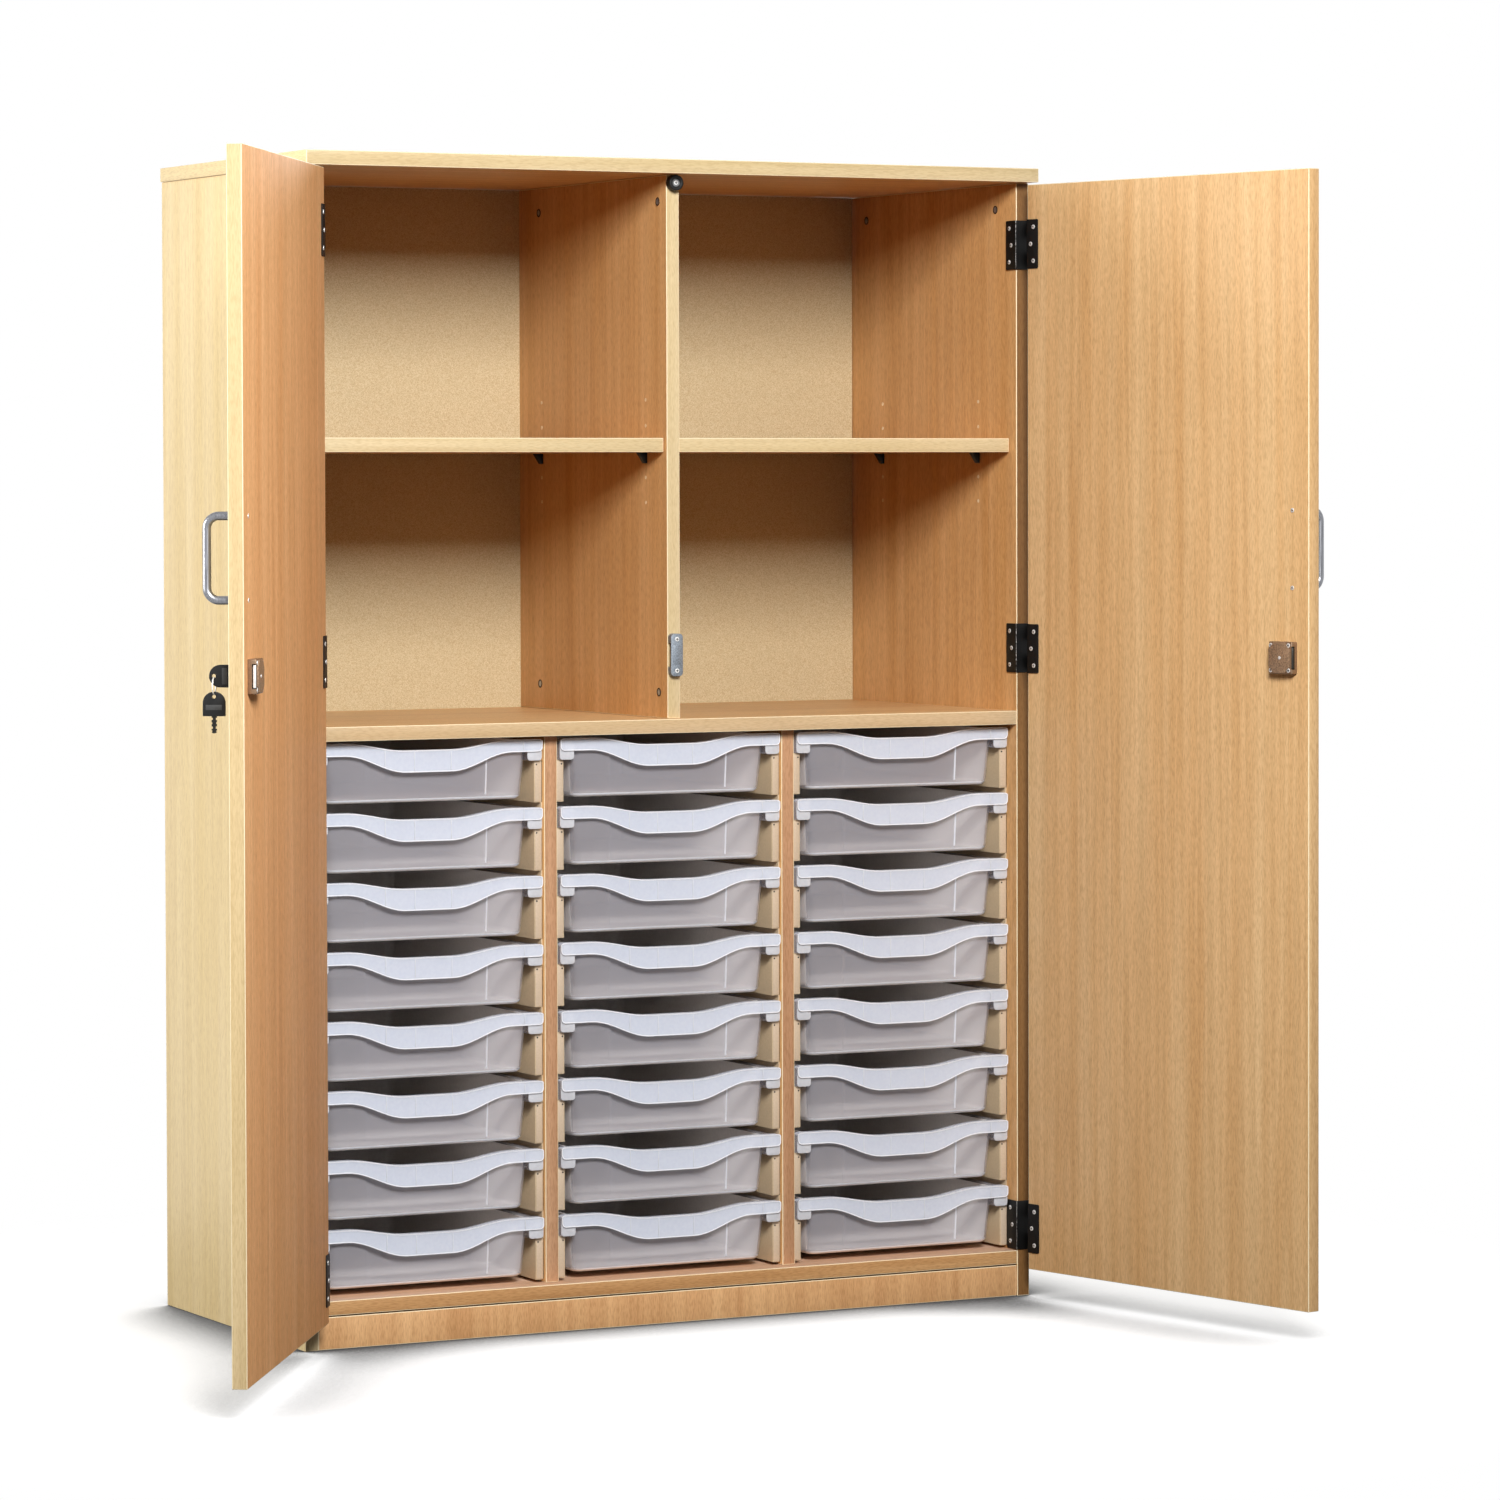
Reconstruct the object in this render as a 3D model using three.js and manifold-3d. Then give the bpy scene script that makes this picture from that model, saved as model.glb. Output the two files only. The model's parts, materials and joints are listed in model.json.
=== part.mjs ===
// Two-door lockable cupboard: four open compartments above, three bays of pull-out trays below.
// Millimetres, +Z up, doors to the front (-Y), origin under the middle of the plinth board.
import * as THREE from 'three';
import { mergeVertices } from 'three/addons/utils/BufferGeometryUtils.js';
import Module from 'manifold-3d';

const wasm = await Module();
wasm.setup();

// Carcass
const WIDTH = 1030;
const HEIGHT = 1475;
const SIDE_DEPTH = 456;
const PANEL = 18;
const PLINTH_HEIGHT = 42;
const PLINTH_SETBACK = 2;
const TOP_SIDE_OVERHANG = 2;
const TOP_DOOR_COVER = 2;
const BACK_THICKNESS = 6;
const BACK_INSET = 3;
const UPPER_DIVIDER_SETBACK = 10;
const TRAY_DIVIDER_SETBACK = 20;
const SEAT = 0.3;
const FLATNESS = 0.002;

// Shelves and their supports
const SHELF_RISE = 338;
const SHELF_SETBACK = 16.5;
const SHELF_END_GAP = 1.5;
const SHELF_BACK_GAP = 4;
const SUPPORT_REACH = 12;
const SUPPORT_HEIGHT = 14;
const SUPPORT_WIDTH = 9;
const SIDE_SUPPORT_FRONT = 100;
const SIDE_SUPPORT_BACK = 361;
const DIVIDER_SUPPORT_FRONT = 70;
const DIVIDER_SUPPORT_BACK = 378;

// Trays and runners
const TRAY_COLUMNS = 3;
const TRAY_ROWS = 8;
const TRAY_HEIGHT = 75;
const TRAY_STACK_GAP = 11;
const TRAY_TOP_GAP = 4;
const TRAY_BASE_GAP = 9;
const TRAY_SIDE_GAP = 3.5;
const TRAY_FRONT_SETBACK = 17;
const TRAY_BACK_GAP = 3;
const TRAY_WALL = 2.5;
const TRAY_LIP_REACH = 10;
const TRAY_LIP_HEIGHT = 15.7;
const TRAY_LIP_THICKNESS = 3;
const TRAY_LIP_DIP = 10;
const TRAY_LIP_DROP = 21.8;
const TRAY_WAVE_OUTER = 95;
const TRAY_WAVE_INNER = 31;
const TRAY_WAVE_STEPS = 3;
const TRAY_FLANGE_WIDTH = 19;
const TRAY_FLANGE_DEPTH = 27;
const TRAY_FLANGE_SKIN = 2.5;
const TRAY_RIM_DROP = 2;
const TRAY_DRAFT = 5.5;
const TRAY_CORNER = 14;
const TRAY_CORNER_STEPS = 1;
const RUNNER_WIDTH = 11.5;
const RUNNER_SPINE = 2;
const RUNNER_SETBACK = 26;
const RUNNER_BACK_GAP = 7;
const RUNNER_BLOCK = 52.7;

// Doors and hinges
const DOOR_THICKNESS = 18;
const DOOR_MEETING_GAP = 3;
const DOOR_SIDE_INSET = 1;
const DOOR_TOP_GAP = 4;
const DOOR_BOTTOM_LAP = 3;
const HINGE_GAP = 4;
const PIN_STANDOFF = 3;
const PIN_OUTSET = 1.5;
const LEFT_DOOR_OPEN = 123.7;
const RIGHT_DOOR_OPEN = 102;
const HINGE_HEIGHT = 64;
const HINGE_LEAF = 1.5;
const HINGE_SIDE_WIDTH = 24;
const HINGE_DOOR_WIDTH = 22;
const KNUCKLE_RADIUS = 3;
const HINGE_PIN_RADIUS = 1.4;
const HINGE_PIN_CLEARANCE = 0.3;
const MIDDLE_KNUCKLE_LENGTH = 20;
const KNUCKLE_GAP = 0.6;
const KNUCKLE_NOTCH = 7;
const HINGE_FROM_TOP = 77;
const HINGE_FROM_BOTTOM = 54;
const MIDDLE_HINGE_RISE = 811;
const KNUCKLE_SIDES = 8;

// Handles
const HANDLE_CENTRES = 96;
const HANDLE_RADIUS = 5;
const HANDLE_PROJECTION = 35;
const HANDLE_BEND = 13;
const HANDLE_FROM_EDGE = 28.5;
const HANDLE_RISE = 944.5;
const HANDLE_STEPS = 22;
const HANDLE_SIDES = 6;

// Locks, keep and buffer
const LOCK_RISE = 810;
const LOCK_SIZE = 40;
const LOCK_DEPTH = 12;
const LOCK_FROM_EDGE = 19.5;
const BARREL_RADIUS = 9;
const BARREL_PROUD = 1.5;
const BARREL_CLEARANCE = 0.4;
const BOLT_HEIGHT = 26;
const BOLT_THICKNESS = 3.5;
const BOLT_DEPTH = 6.4;
const BOLT_LENGTH = 22;
const BOLT_PROUD = 1;
const BOLT_CLEARANCE = 0.3;
const PLUG_RADIUS = 5;
const PLUG_DEPTH = 6.5;
const BOW_LENGTH = 28;
const BOW_WIDTH = 26;
const BOW_THICKNESS = 5;
const BOW_HOLE_RADIUS = 2.5;
const BOW_HOLE_FROM_END = 5.5;
const BOW_OFF_BARREL = 0.5;
const BOW_STEPS = 8;
const BLADE_LENGTH = 22;
const BLADE_WIDTH = 6;
const BLADE_THICKNESS = 2;
const RING_RADIUS = 10;
const RING_WIRE = 0.8;
const RING_BITE = 0.5;
const RING_SIDES = 5;
const RING_STEPS = 14;
const ROUND_SIDES = 12;
const KEEP_WIDTH = 17;
const KEEP_HEIGHT = 54;
const KEEP_PLATE = 1.5;
const KEEP_SLOT_EXTRA = 2;
const BUFFER_RADIUS = 10;
const BUFFER_DOOR_GAP = 2;
const BUFFER_TOP_GAP = 0.5;

// Places that follow from the sizes above, measured from the front edge of the side panels
const halfWidth = WIDTH / 2;
const innerHalf = halfWidth - PANEL;
const topUnder = HEIGHT - PANEL;
const baseTop = PLINTH_HEIGHT + PANEL;
const trayPitch = TRAY_HEIGHT + TRAY_STACK_GAP;
const middleUnder = baseTop + TRAY_BASE_GAP + TRAY_ROWS * trayPitch - TRAY_STACK_GAP + TRAY_TOP_GAP;
const middleTop = middleUnder + PANEL;
const shelfUnder = middleTop + SHELF_RISE;
const backFront = SIDE_DEPTH - BACK_INSET - BACK_THICKNESS;
const bayWidth = (WIDTH - (TRAY_COLUMNS + 1) * PANEL) / TRAY_COLUMNS;
const trayWidth = bayWidth - 2 * TRAY_SIDE_GAP;
const trayDepth = backFront - TRAY_BACK_GAP - TRAY_FRONT_SETBACK;
const plinthMiddle = PLINTH_SETBACK + PANEL / 2;
const topOverhang = HINGE_GAP + DOOR_THICKNESS + TOP_DOOR_COVER;
const doorBottom = PLINTH_HEIGHT - DOOR_BOTTOM_LAP;
const doorTop = topUnder - DOOR_TOP_GAP;

// The door frame: u runs from the hinge pin to the free edge, v from the pin into the cupboard
const pinX = halfWidth + PIN_OUTSET;
const pinY = -(HINGE_GAP + DOOR_THICKNESS + PIN_STANDOFF);
const doorHingeEdge = PIN_OUTSET + DOOR_SIDE_INSET;
const doorFreeEdge = pinX - DOOR_MEETING_GAP / 2;
const doorOuter = PIN_STANDOFF;
const doorInner = PIN_STANDOFF + DOOR_THICKNESS;
const lockU = doorFreeEdge - LOCK_FROM_EDGE - LOCK_SIZE / 2;
const lockZ = doorBottom + LOCK_RISE;
const handleU = doorFreeEdge - HANDLE_FROM_EDGE;
const handleZ = doorBottom + HANDLE_RISE;
const hingeHeights = [
  doorTop - HINGE_FROM_TOP,
  doorBottom + MIDDLE_HINGE_RISE,
  doorBottom + HINGE_FROM_BOTTOM,
];

// Finishes
const BEECH = { color: 0xd9b27c, roughness: 0.5, metalness: 0 };
const BEECH_EDGE = { color: 0xe6cd9b, roughness: 0.5, metalness: 0 };
const HARDBOARD = { color: 0xdcc49c, roughness: 0.8, metalness: 0 };
const FROSTED = { color: 0xd8dbe2, roughness: 0.35, metalness: 0 };
const RUNNER_PLASTIC = { color: 0xcdb994, roughness: 0.5, metalness: 0 };
const BLACK_STEEL = { color: 0x141414, roughness: 0.45, metalness: 0.3 };
const BRUSHED_STEEL = { color: 0x9a9a98, roughness: 0.35, metalness: 1 };
const LOCK_STEEL = { color: 0x8a7a6c, roughness: 0.4, metalness: 0.8 };
const BRIGHT_STEEL = { color: 0xc8c8c8, roughness: 0.25, metalness: 1 };
const BLACK_PLASTIC = { color: 0x161616, roughness: 0.5, metalness: 0 };
const BLACK_RUBBER = { color: 0x1b1b1b, roughness: 0.8, metalness: 0 };

// Solid helpers
function toSolid(geometry) {
  const bare = geometry.clone();
  bare.deleteAttribute('normal');
  bare.deleteAttribute('uv');
  const merged = mergeVertices(bare);
  const vertProperties = new Float32Array(merged.attributes.position.array);
  const triVerts = new Uint32Array(merged.index.array);
  return new wasm.Manifold(new wasm.Mesh({ numProp: 3, vertProperties, triVerts }));
}

function toGeometry(solid) {
  const mesh = solid.asOriginal().simplify(FLATNESS).getMesh();
  const geometry = new THREE.BufferGeometry();
  geometry.setAttribute('position', new THREE.BufferAttribute(new Float32Array(mesh.vertProperties), 3));
  geometry.setIndex(new THREE.BufferAttribute(new Uint32Array(mesh.triVerts), 1));
  return geometry;
}

function join(...geometries) {
  const solids = geometries.map(toSolid);
  return toGeometry(solids.reduce((whole, piece) => whole.add(piece)));
}

function cut(geometry, ...tools) {
  const solids = tools.map(toSolid);
  return toGeometry(solids.reduce((whole, tool) => whole.subtract(tool), toSolid(geometry)));
}

function box(x0, x1, y0, y1, z0, z1) {
  const geometry = new THREE.BoxGeometry(x1 - x0, y1 - y0, z1 - z0);
  return geometry.translate((x0 + x1) / 2, (y0 + y1) / 2, (z0 + z1) / 2);
}

// An outline in the XZ plane, swept from y0 to y1
function sweepY(points, y0, y1) {
  const outline = new THREE.Shape(points.map(([x, z]) => new THREE.Vector2(x, z)));
  const geometry = new THREE.ExtrudeGeometry(outline, { depth: y1 - y0, bevelEnabled: false });
  return geometry.rotateX(Math.PI / 2).translate(0, y1, 0);
}

// An outline in the YZ plane, swept from x0 to x1
function sweepX(points, x0, x1) {
  const outline = new THREE.Shape(points.map(([y, z]) => new THREE.Vector2(y, z)));
  const geometry = new THREE.ExtrudeGeometry(outline, { depth: x1 - x0, bevelEnabled: false });
  return geometry.rotateX(Math.PI / 2).rotateZ(Math.PI / 2).translate(x0, 0, 0);
}

function cylinderZ(radius, x, y, z0, z1) {
  const geometry = new THREE.CylinderGeometry(radius, radius, z1 - z0, KNUCKLE_SIDES);
  return geometry.rotateX(Math.PI / 2).translate(x, y, (z0 + z1) / 2);
}

function cylinderY(radius, x, z, y0, y1) {
  const geometry = new THREE.CylinderGeometry(radius, radius, y1 - y0, ROUND_SIDES);
  return geometry.translate(x, (y0 + y1) / 2, z);
}

function mirrorX(geometry) {
  const merged = toGeometry(toSolid(geometry));
  merged.scale(-1, 1, 1);
  const index = merged.index.array;
  for (let i = 0; i < index.length; i += 3) {
    const kept = index[i];
    index[i] = index[i + 1];
    index[i + 1] = kept;
  }
  return merged;
}

const cupboard = new THREE.Group();
cupboard.position.y = -plinthMiddle;

function addPart(group, name, geometry, finish) {
  const mesh = new THREE.Mesh(geometry, new THREE.MeshStandardMaterial(finish));
  mesh.name = name;
  group.add(mesh);
  return mesh;
}

// A bracket under a shelf: flat on top, sloping back down to the panel that carries it
function shelfSupport(face, outward, y) {
  const top = shelfUnder - SEAT;
  const root = face - outward * SEAT;
  const outline = [
    [root, top - SUPPORT_HEIGHT],
    [root, top],
    [face + outward * SUPPORT_REACH, top],
  ];
  if (outward > 0) {
    outline.reverse();
  }
  return sweepY(outline, y - SUPPORT_WIDTH / 2, y + SUPPORT_WIDTH / 2);
}

// Side panels, each with its two shelf supports
function sidePanel() {
  return join(
    box(-halfWidth, -innerHalf, 0, SIDE_DEPTH, 0, topUnder - SEAT),
    shelfSupport(-innerHalf, 1, SIDE_SUPPORT_FRONT),
    shelfSupport(-innerHalf, 1, SIDE_SUPPORT_BACK),
  );
}

function addCarcass() {
  const reach = innerHalf - SEAT;
  const inside = backFront - SEAT;
  addPart(cupboard, 'left_side_panel', sidePanel(), BEECH);
  addPart(cupboard, 'right_side_panel', mirrorX(sidePanel()), BEECH);
  const topHalf = halfWidth + TOP_SIDE_OVERHANG;
  addPart(cupboard, 'top_panel', box(-topHalf, topHalf, -topOverhang, SIDE_DEPTH, topUnder, HEIGHT), BEECH);
  addPart(cupboard, 'base_panel', box(-reach, reach, 0, inside, PLINTH_HEIGHT, baseTop), BEECH);
  addPart(cupboard, 'middle_panel', box(-reach, reach, 0, inside, middleUnder, middleTop), BEECH);
  const plinthBack = PLINTH_SETBACK + PANEL;
  const plinth = box(-reach, reach, PLINTH_SETBACK, plinthBack, 0, PLINTH_HEIGHT - SEAT);
  addPart(cupboard, 'plinth_board', plinth, BEECH);
  const backRear = backFront + BACK_THICKNESS;
  const back = box(-reach, reach, backFront, backRear, PLINTH_HEIGHT, topUnder - SEAT);
  addPart(cupboard, 'back_panel', back, HARDBOARD);
}

function addUpperDivider() {
  const half = PANEL / 2;
  const front = UPPER_DIVIDER_SETBACK;
  const supports = [-1, 1].flatMap((side) => [
    shelfSupport(side * half, side, DIVIDER_SUPPORT_FRONT),
    shelfSupport(side * half, side, DIVIDER_SUPPORT_BACK),
  ]);
  const board = box(-half, half, front, backFront - SEAT, middleTop + SEAT, topUnder - SEAT);
  addPart(cupboard, 'upper_divider', join(board, ...supports), BEECH);
}

function addShelves() {
  const outer = innerHalf - SHELF_END_GAP;
  const inner = PANEL / 2 + SHELF_END_GAP;
  const rear = backFront - SHELF_BACK_GAP;
  const left = box(-outer, -inner, SHELF_SETBACK, rear, shelfUnder, shelfUnder + PANEL);
  const right = box(inner, outer, SHELF_SETBACK, rear, shelfUnder, shelfUnder + PANEL);
  addPart(cupboard, 'left_shelf', left, BEECH_EDGE);
  addPart(cupboard, 'right_shelf', right, BEECH_EDGE);
}

// The middle of a tray bay, and the top of a tray's lip, counted from the left and from the top
function bayCentre(column) {
  return -innerHalf + bayWidth / 2 + column * (bayWidth + PANEL);
}

function trayTop(row) {
  return middleUnder - TRAY_TOP_GAP - row * trayPitch;
}

function addTrayDividers() {
  for (let i = 1; i < TRAY_COLUMNS; i += 1) {
    const centre = bayCentre(i - 1) + (bayWidth + PANEL) / 2;
    const x0 = centre - PANEL / 2;
    const z0 = baseTop + SEAT;
    const board = box(x0, x0 + PANEL, TRAY_DIVIDER_SETBACK, backFront - SEAT, z0, middleUnder - SEAT);
    const name = i === 1 ? 'left_tray_divider' : 'right_tray_divider';
    addPart(cupboard, name, board, BEECH);
  }
}

// A comb of runner blocks on one face of a bay, one block under each tray's flange
function runnerComb(face, outward) {
  const root = face + outward * SEAT;
  const spine = face + outward * RUNNER_SPINE;
  const tip = face + outward * RUNNER_WIDTH;
  const outline = [];
  for (let row = 0; row < TRAY_ROWS; row += 1) {
    const top = trayTop(row) - TRAY_FLANGE_DEPTH - SEAT;
    const bottom = top - RUNNER_BLOCK;
    if (row > 0) {
      outline.push([spine, top]);
    }
    outline.push([tip, top], [tip, bottom]);
    if (row < TRAY_ROWS - 1) {
      outline.push([spine, bottom]);
    }
  }
  const first = trayTop(0) - TRAY_FLANGE_DEPTH - SEAT;
  const last = trayTop(TRAY_ROWS - 1) - TRAY_FLANGE_DEPTH - SEAT - RUNNER_BLOCK;
  outline.push([root, last], [root, first]);
  return sweepY(outline, RUNNER_SETBACK, backFront - RUNNER_BACK_GAP);
}

function addRunners() {
  const bays = ['left', 'middle', 'right'];
  bays.forEach((bay, column) => {
    const centre = bayCentre(column);
    const left = runnerComb(centre - bayWidth / 2, 1);
    const right = runnerComb(centre + bayWidth / 2, -1);
    addPart(cupboard, `${bay}_bay_left_runner`, left, RUNNER_PLASTIC);
    addPart(cupboard, `${bay}_bay_right_runner`, right, RUNNER_PLASTIC);
  });
}

// A rounded rectangle with its corners as short arcs, counter-clockwise
function roundedOutline(halfX, y0, y1, radius) {
  const corners = [
    [halfX - radius, y0 + radius, -Math.PI / 2],
    [halfX - radius, y1 - radius, 0],
    [-halfX + radius, y1 - radius, Math.PI / 2],
    [-halfX + radius, y0 + radius, Math.PI],
  ];
  return corners.flatMap(([cx, cy, start]) => {
    const arc = [];
    for (let i = 0; i <= TRAY_CORNER_STEPS; i += 1) {
      const angle = start + (i / TRAY_CORNER_STEPS) * (Math.PI / 2);
      arc.push([cx + radius * Math.cos(angle), cy + radius * Math.sin(angle)]);
    }
    return arc;
  });
}

// A closed tapering block between two outlines with as many points each
function taper(lower, z0, upper, z1) {
  const count = lower.length;
  const rings = [...lower.map(([x, y]) => [x, y, z0]), ...upper.map(([x, y]) => [x, y, z1])];
  const index = [];
  for (let i = 0; i < count; i += 1) {
    const next = (i + 1) % count;
    index.push(i, next, count + next, i, count + next, count + i);
  }
  for (let i = 1; i < count - 1; i += 1) {
    index.push(0, i + 1, i, count, count + i, count + i + 1);
  }
  const geometry = new THREE.BufferGeometry();
  geometry.setAttribute('position', new THREE.BufferAttribute(new Float32Array(rings.flat()), 3));
  geometry.setIndex(index);
  return geometry;
}

// How far the lip has dipped at x: 0 towards its ends, 1 in the middle
function lipWave(x) {
  const share = (TRAY_WAVE_OUTER - Math.abs(x)) / (TRAY_WAVE_OUTER - TRAY_WAVE_INNER);
  const along = Math.min(Math.max(share, 0), 1);
  return (1 - Math.cos(Math.PI * along)) / 2;
}

// Points along the lip from left to right, closer together where it curves
function lipStations() {
  const half = trayWidth / 2;
  const rise = [];
  for (let i = 0; i <= TRAY_WAVE_STEPS; i += 1) {
    rise.push(TRAY_WAVE_OUTER + (i / TRAY_WAVE_STEPS) * (TRAY_WAVE_INNER - TRAY_WAVE_OUTER));
  }
  return [-half, ...rise.map((x) => -x), ...rise.reverse(), half];
}

// One tray in its own frame: x from its middle, y from its lip's front, z from its lip's top
function trayGeometry() {
  const half = trayWidth / 2;
  const tubHalf = half - TRAY_FLANGE_WIDTH;
  const rimTop = -TRAY_RIM_DROP;
  const tubFront = TRAY_LIP_REACH;
  const tubBack = trayDepth - TRAY_RIM_DROP;
  const upper = roundedOutline(tubHalf, tubFront, tubBack, TRAY_CORNER);
  const d = TRAY_DRAFT;
  const lower = roundedOutline(tubHalf - d, tubFront + d, tubBack - d, TRAY_CORNER);
  const w = TRAY_WALL;
  const upperIn = roundedOutline(tubHalf - w, tubFront + w, tubBack - w, TRAY_CORNER - w);
  const inset = d + w;
  const lowerIn = roundedOutline(tubHalf - inset, tubFront + inset, tubBack - inset, TRAY_CORNER - w);
  const shell = taper(lower, -TRAY_HEIGHT, upper, rimTop);
  const hollow = taper(lowerIn, w - TRAY_HEIGHT, upperIn, rimTop + w);

  const stations = lipStations();
  const crest = stations.map((x) => [x, -TRAY_LIP_DIP * lipWave(x)]);
  const skirt = stations.map((x) => [x, -TRAY_LIP_HEIGHT - TRAY_LIP_DROP * lipWave(x)]);
  const roof = crest.map(([x, z]) => [x, z - TRAY_LIP_THICKNESS]);
  const apron = sweepY([...skirt, ...[...crest].reverse()], 0, TRAY_LIP_THICKNESS);
  const lipRoof = sweepY([...roof, ...[...crest].reverse()], 0, tubFront + w);
  const above = [[half, w], [-half, w]];
  const scoop = sweepY([...crest, ...above], -w, tubFront + TRAY_CORNER);

  const skin = TRAY_FLANGE_SKIN;
  const rimRoot = tubHalf - w + SEAT;
  const angle = sweepY(
    [
      [rimRoot, rimTop - skin], [half - skin, rimTop - skin], [half - skin, -TRAY_FLANGE_DEPTH],
      [half, -TRAY_FLANGE_DEPTH], [half, rimTop], [rimRoot, rimTop],
    ],
    TRAY_LIP_THICKNESS - SEAT, trayDepth,
  );
  const tabFront = TRAY_LIP_THICKNESS - SEAT;
  const tab = box(tubHalf + SEAT, half, tabFront, tabFront + skin, -TRAY_FLANGE_DEPTH, rimTop);
  const flange = join(angle, tab);
  const flanges = [flange, mirrorX(flange)];
  const rearRim = box(-tubHalf, tubHalf, tubBack - w, trayDepth, rimTop - w, rimTop);
  return join(cut(join(shell, rearRim, ...flanges), hollow, scoop), apron, lipRoof);
}

function addTrays() {
  const geometry = trayGeometry();
  const bays = ['left', 'middle', 'right'];
  bays.forEach((bay, column) => {
    for (let row = 0; row < TRAY_ROWS; row += 1) {
      const tray = addPart(cupboard, `${bay}_tray_${row + 1}`, geometry, FROSTED);
      tray.position.set(bayCentre(column), TRAY_FRONT_SETBACK, trayTop(row));
    }
  });
}

// The fixed leaf of a hinge on the left side panel, with its outer knuckles and the pin
function fixedLeaf(z) {
  const z0 = z - HINGE_HEIGHT / 2;
  const z1 = z + HINGE_HEIGHT / 2;
  const share = MIDDLE_KNUCKLE_LENGTH / 2 + KNUCKLE_GAP;
  const face = -innerHalf + SEAT;
  const armOuter = -pinX - KNUCKLE_RADIUS + SEAT;
  const front = -SEAT - HINGE_LEAF;
  const plates = join(
    box(face, face + HINGE_LEAF, front, HINGE_SIDE_WIDTH, z0, z1),
    box(armOuter, face + HINGE_LEAF, front, -SEAT, z0, z1),
    box(armOuter, armOuter + HINGE_LEAF, pinY, -SEAT, z0, z1),
    cylinderZ(KNUCKLE_RADIUS, -pinX, pinY, z0, z1),
  );
  const reach = KNUCKLE_RADIUS + SEAT;
  const notch = box(
    -pinX - reach, -pinX + reach, pinY - reach, pinY + KNUCKLE_NOTCH, z - share, z + share,
  );
  return join(cut(plates, notch), cylinderZ(HINGE_PIN_RADIUS, -pinX, pinY, z0, z1));
}

function addHinges() {
  const levels = ['upper', 'middle', 'lower'];
  levels.forEach((level, i) => {
    const leaf = fixedLeaf(hingeHeights[i]);
    addPart(cupboard, `left_${level}_hinge`, leaf, BLACK_STEEL);
    addPart(cupboard, `right_${level}_hinge`, mirrorX(leaf), BLACK_STEEL);
  });
}

// The leaf that turns with the door: flat on its inner face, round its edge, to the middle knuckle
function doorLeaf(z) {
  const z0 = z - HINGE_HEIGHT / 2;
  const z1 = z + HINGE_HEIGHT / 2;
  const half = MIDDLE_KNUCKLE_LENGTH / 2;
  const edge = doorHingeEdge - HINGE_LEAF;
  const face = doorInner + HINGE_LEAF;
  const strapEnd = KNUCKLE_RADIUS + PIN_STANDOFF;
  const bore = HINGE_PIN_RADIUS + HINGE_PIN_CLEARANCE;
  const strap = join(
    box(0, doorHingeEdge + SEAT, 0, strapEnd, z - half, z + half),
    cylinderZ(KNUCKLE_RADIUS, 0, 0, z - half, z + half),
  );
  return join(
    box(edge, HINGE_DOOR_WIDTH, doorInner - SEAT, face, z0, z1),
    box(edge, doorHingeEdge + SEAT, strapEnd - SEAT, face, z0, z1),
    cut(strap, cylinderZ(bore, 0, 0, z0, z1)),
  );
}

function doorGeometry() {
  const board = box(doorHingeEdge, doorFreeEdge, doorOuter, doorInner, doorBottom, doorTop);
  const leaves = hingeHeights.map(doorLeaf);
  const barrelHole = cylinderY(
    BARREL_RADIUS + BARREL_CLEARANCE, lockU, lockZ, doorOuter - SEAT, doorInner + SEAT,
  );
  return join(cut(board, barrelHole), ...leaves);
}

// A round bar bent twice, standing off the door's outer face
function handleGeometry() {
  const low = handleZ - HANDLE_CENTRES / 2;
  const high = handleZ + HANDLE_CENTRES / 2;
  const near = doorOuter - SEAT;
  const far = doorOuter - HANDLE_PROJECTION + HANDLE_RADIUS;
  const at = (v, z) => new THREE.Vector3(handleU, v, z);
  const path = new THREE.CurvePath();
  path.add(new THREE.LineCurve3(at(near, low), at(far + HANDLE_BEND, low)));
  path.add(new THREE.QuadraticBezierCurve3(
    at(far + HANDLE_BEND, low), at(far, low), at(far, low + HANDLE_BEND),
  ));
  path.add(new THREE.LineCurve3(at(far, low + HANDLE_BEND), at(far, high - HANDLE_BEND)));
  path.add(new THREE.QuadraticBezierCurve3(
    at(far, high - HANDLE_BEND), at(far, high), at(far + HANDLE_BEND, high),
  ));
  path.add(new THREE.LineCurve3(at(far + HANDLE_BEND, high), at(near, high)));
  const section = new THREE.Shape();
  for (let i = 0; i < HANDLE_SIDES; i += 1) {
    const angle = (i / HANDLE_SIDES) * 2 * Math.PI;
    const point = [HANDLE_RADIUS * Math.cos(angle), HANDLE_RADIUS * Math.sin(angle)];
    if (i === 0) {
      section.moveTo(...point);
    } else {
      section.lineTo(...point);
    }
  }
  section.closePath();
  return new THREE.ExtrudeGeometry(section, { steps: HANDLE_STEPS, extrudePath: path });
}

// The bolt's travel inside the case, in the door frame
const boltNear = doorInner + BOLT_DEPTH;
const boltFar = boltNear + BOLT_THICKNESS;
const lockEnd = lockU + LOCK_SIZE / 2;
const boltTail = lockEnd + BOLT_PROUD - BOLT_LENGTH;

function boltGeometry() {
  const half = BOLT_HEIGHT / 2;
  return box(boltTail, lockEnd + BOLT_PROUD, boltNear, boltFar, lockZ - half, lockZ + half);
}

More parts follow.
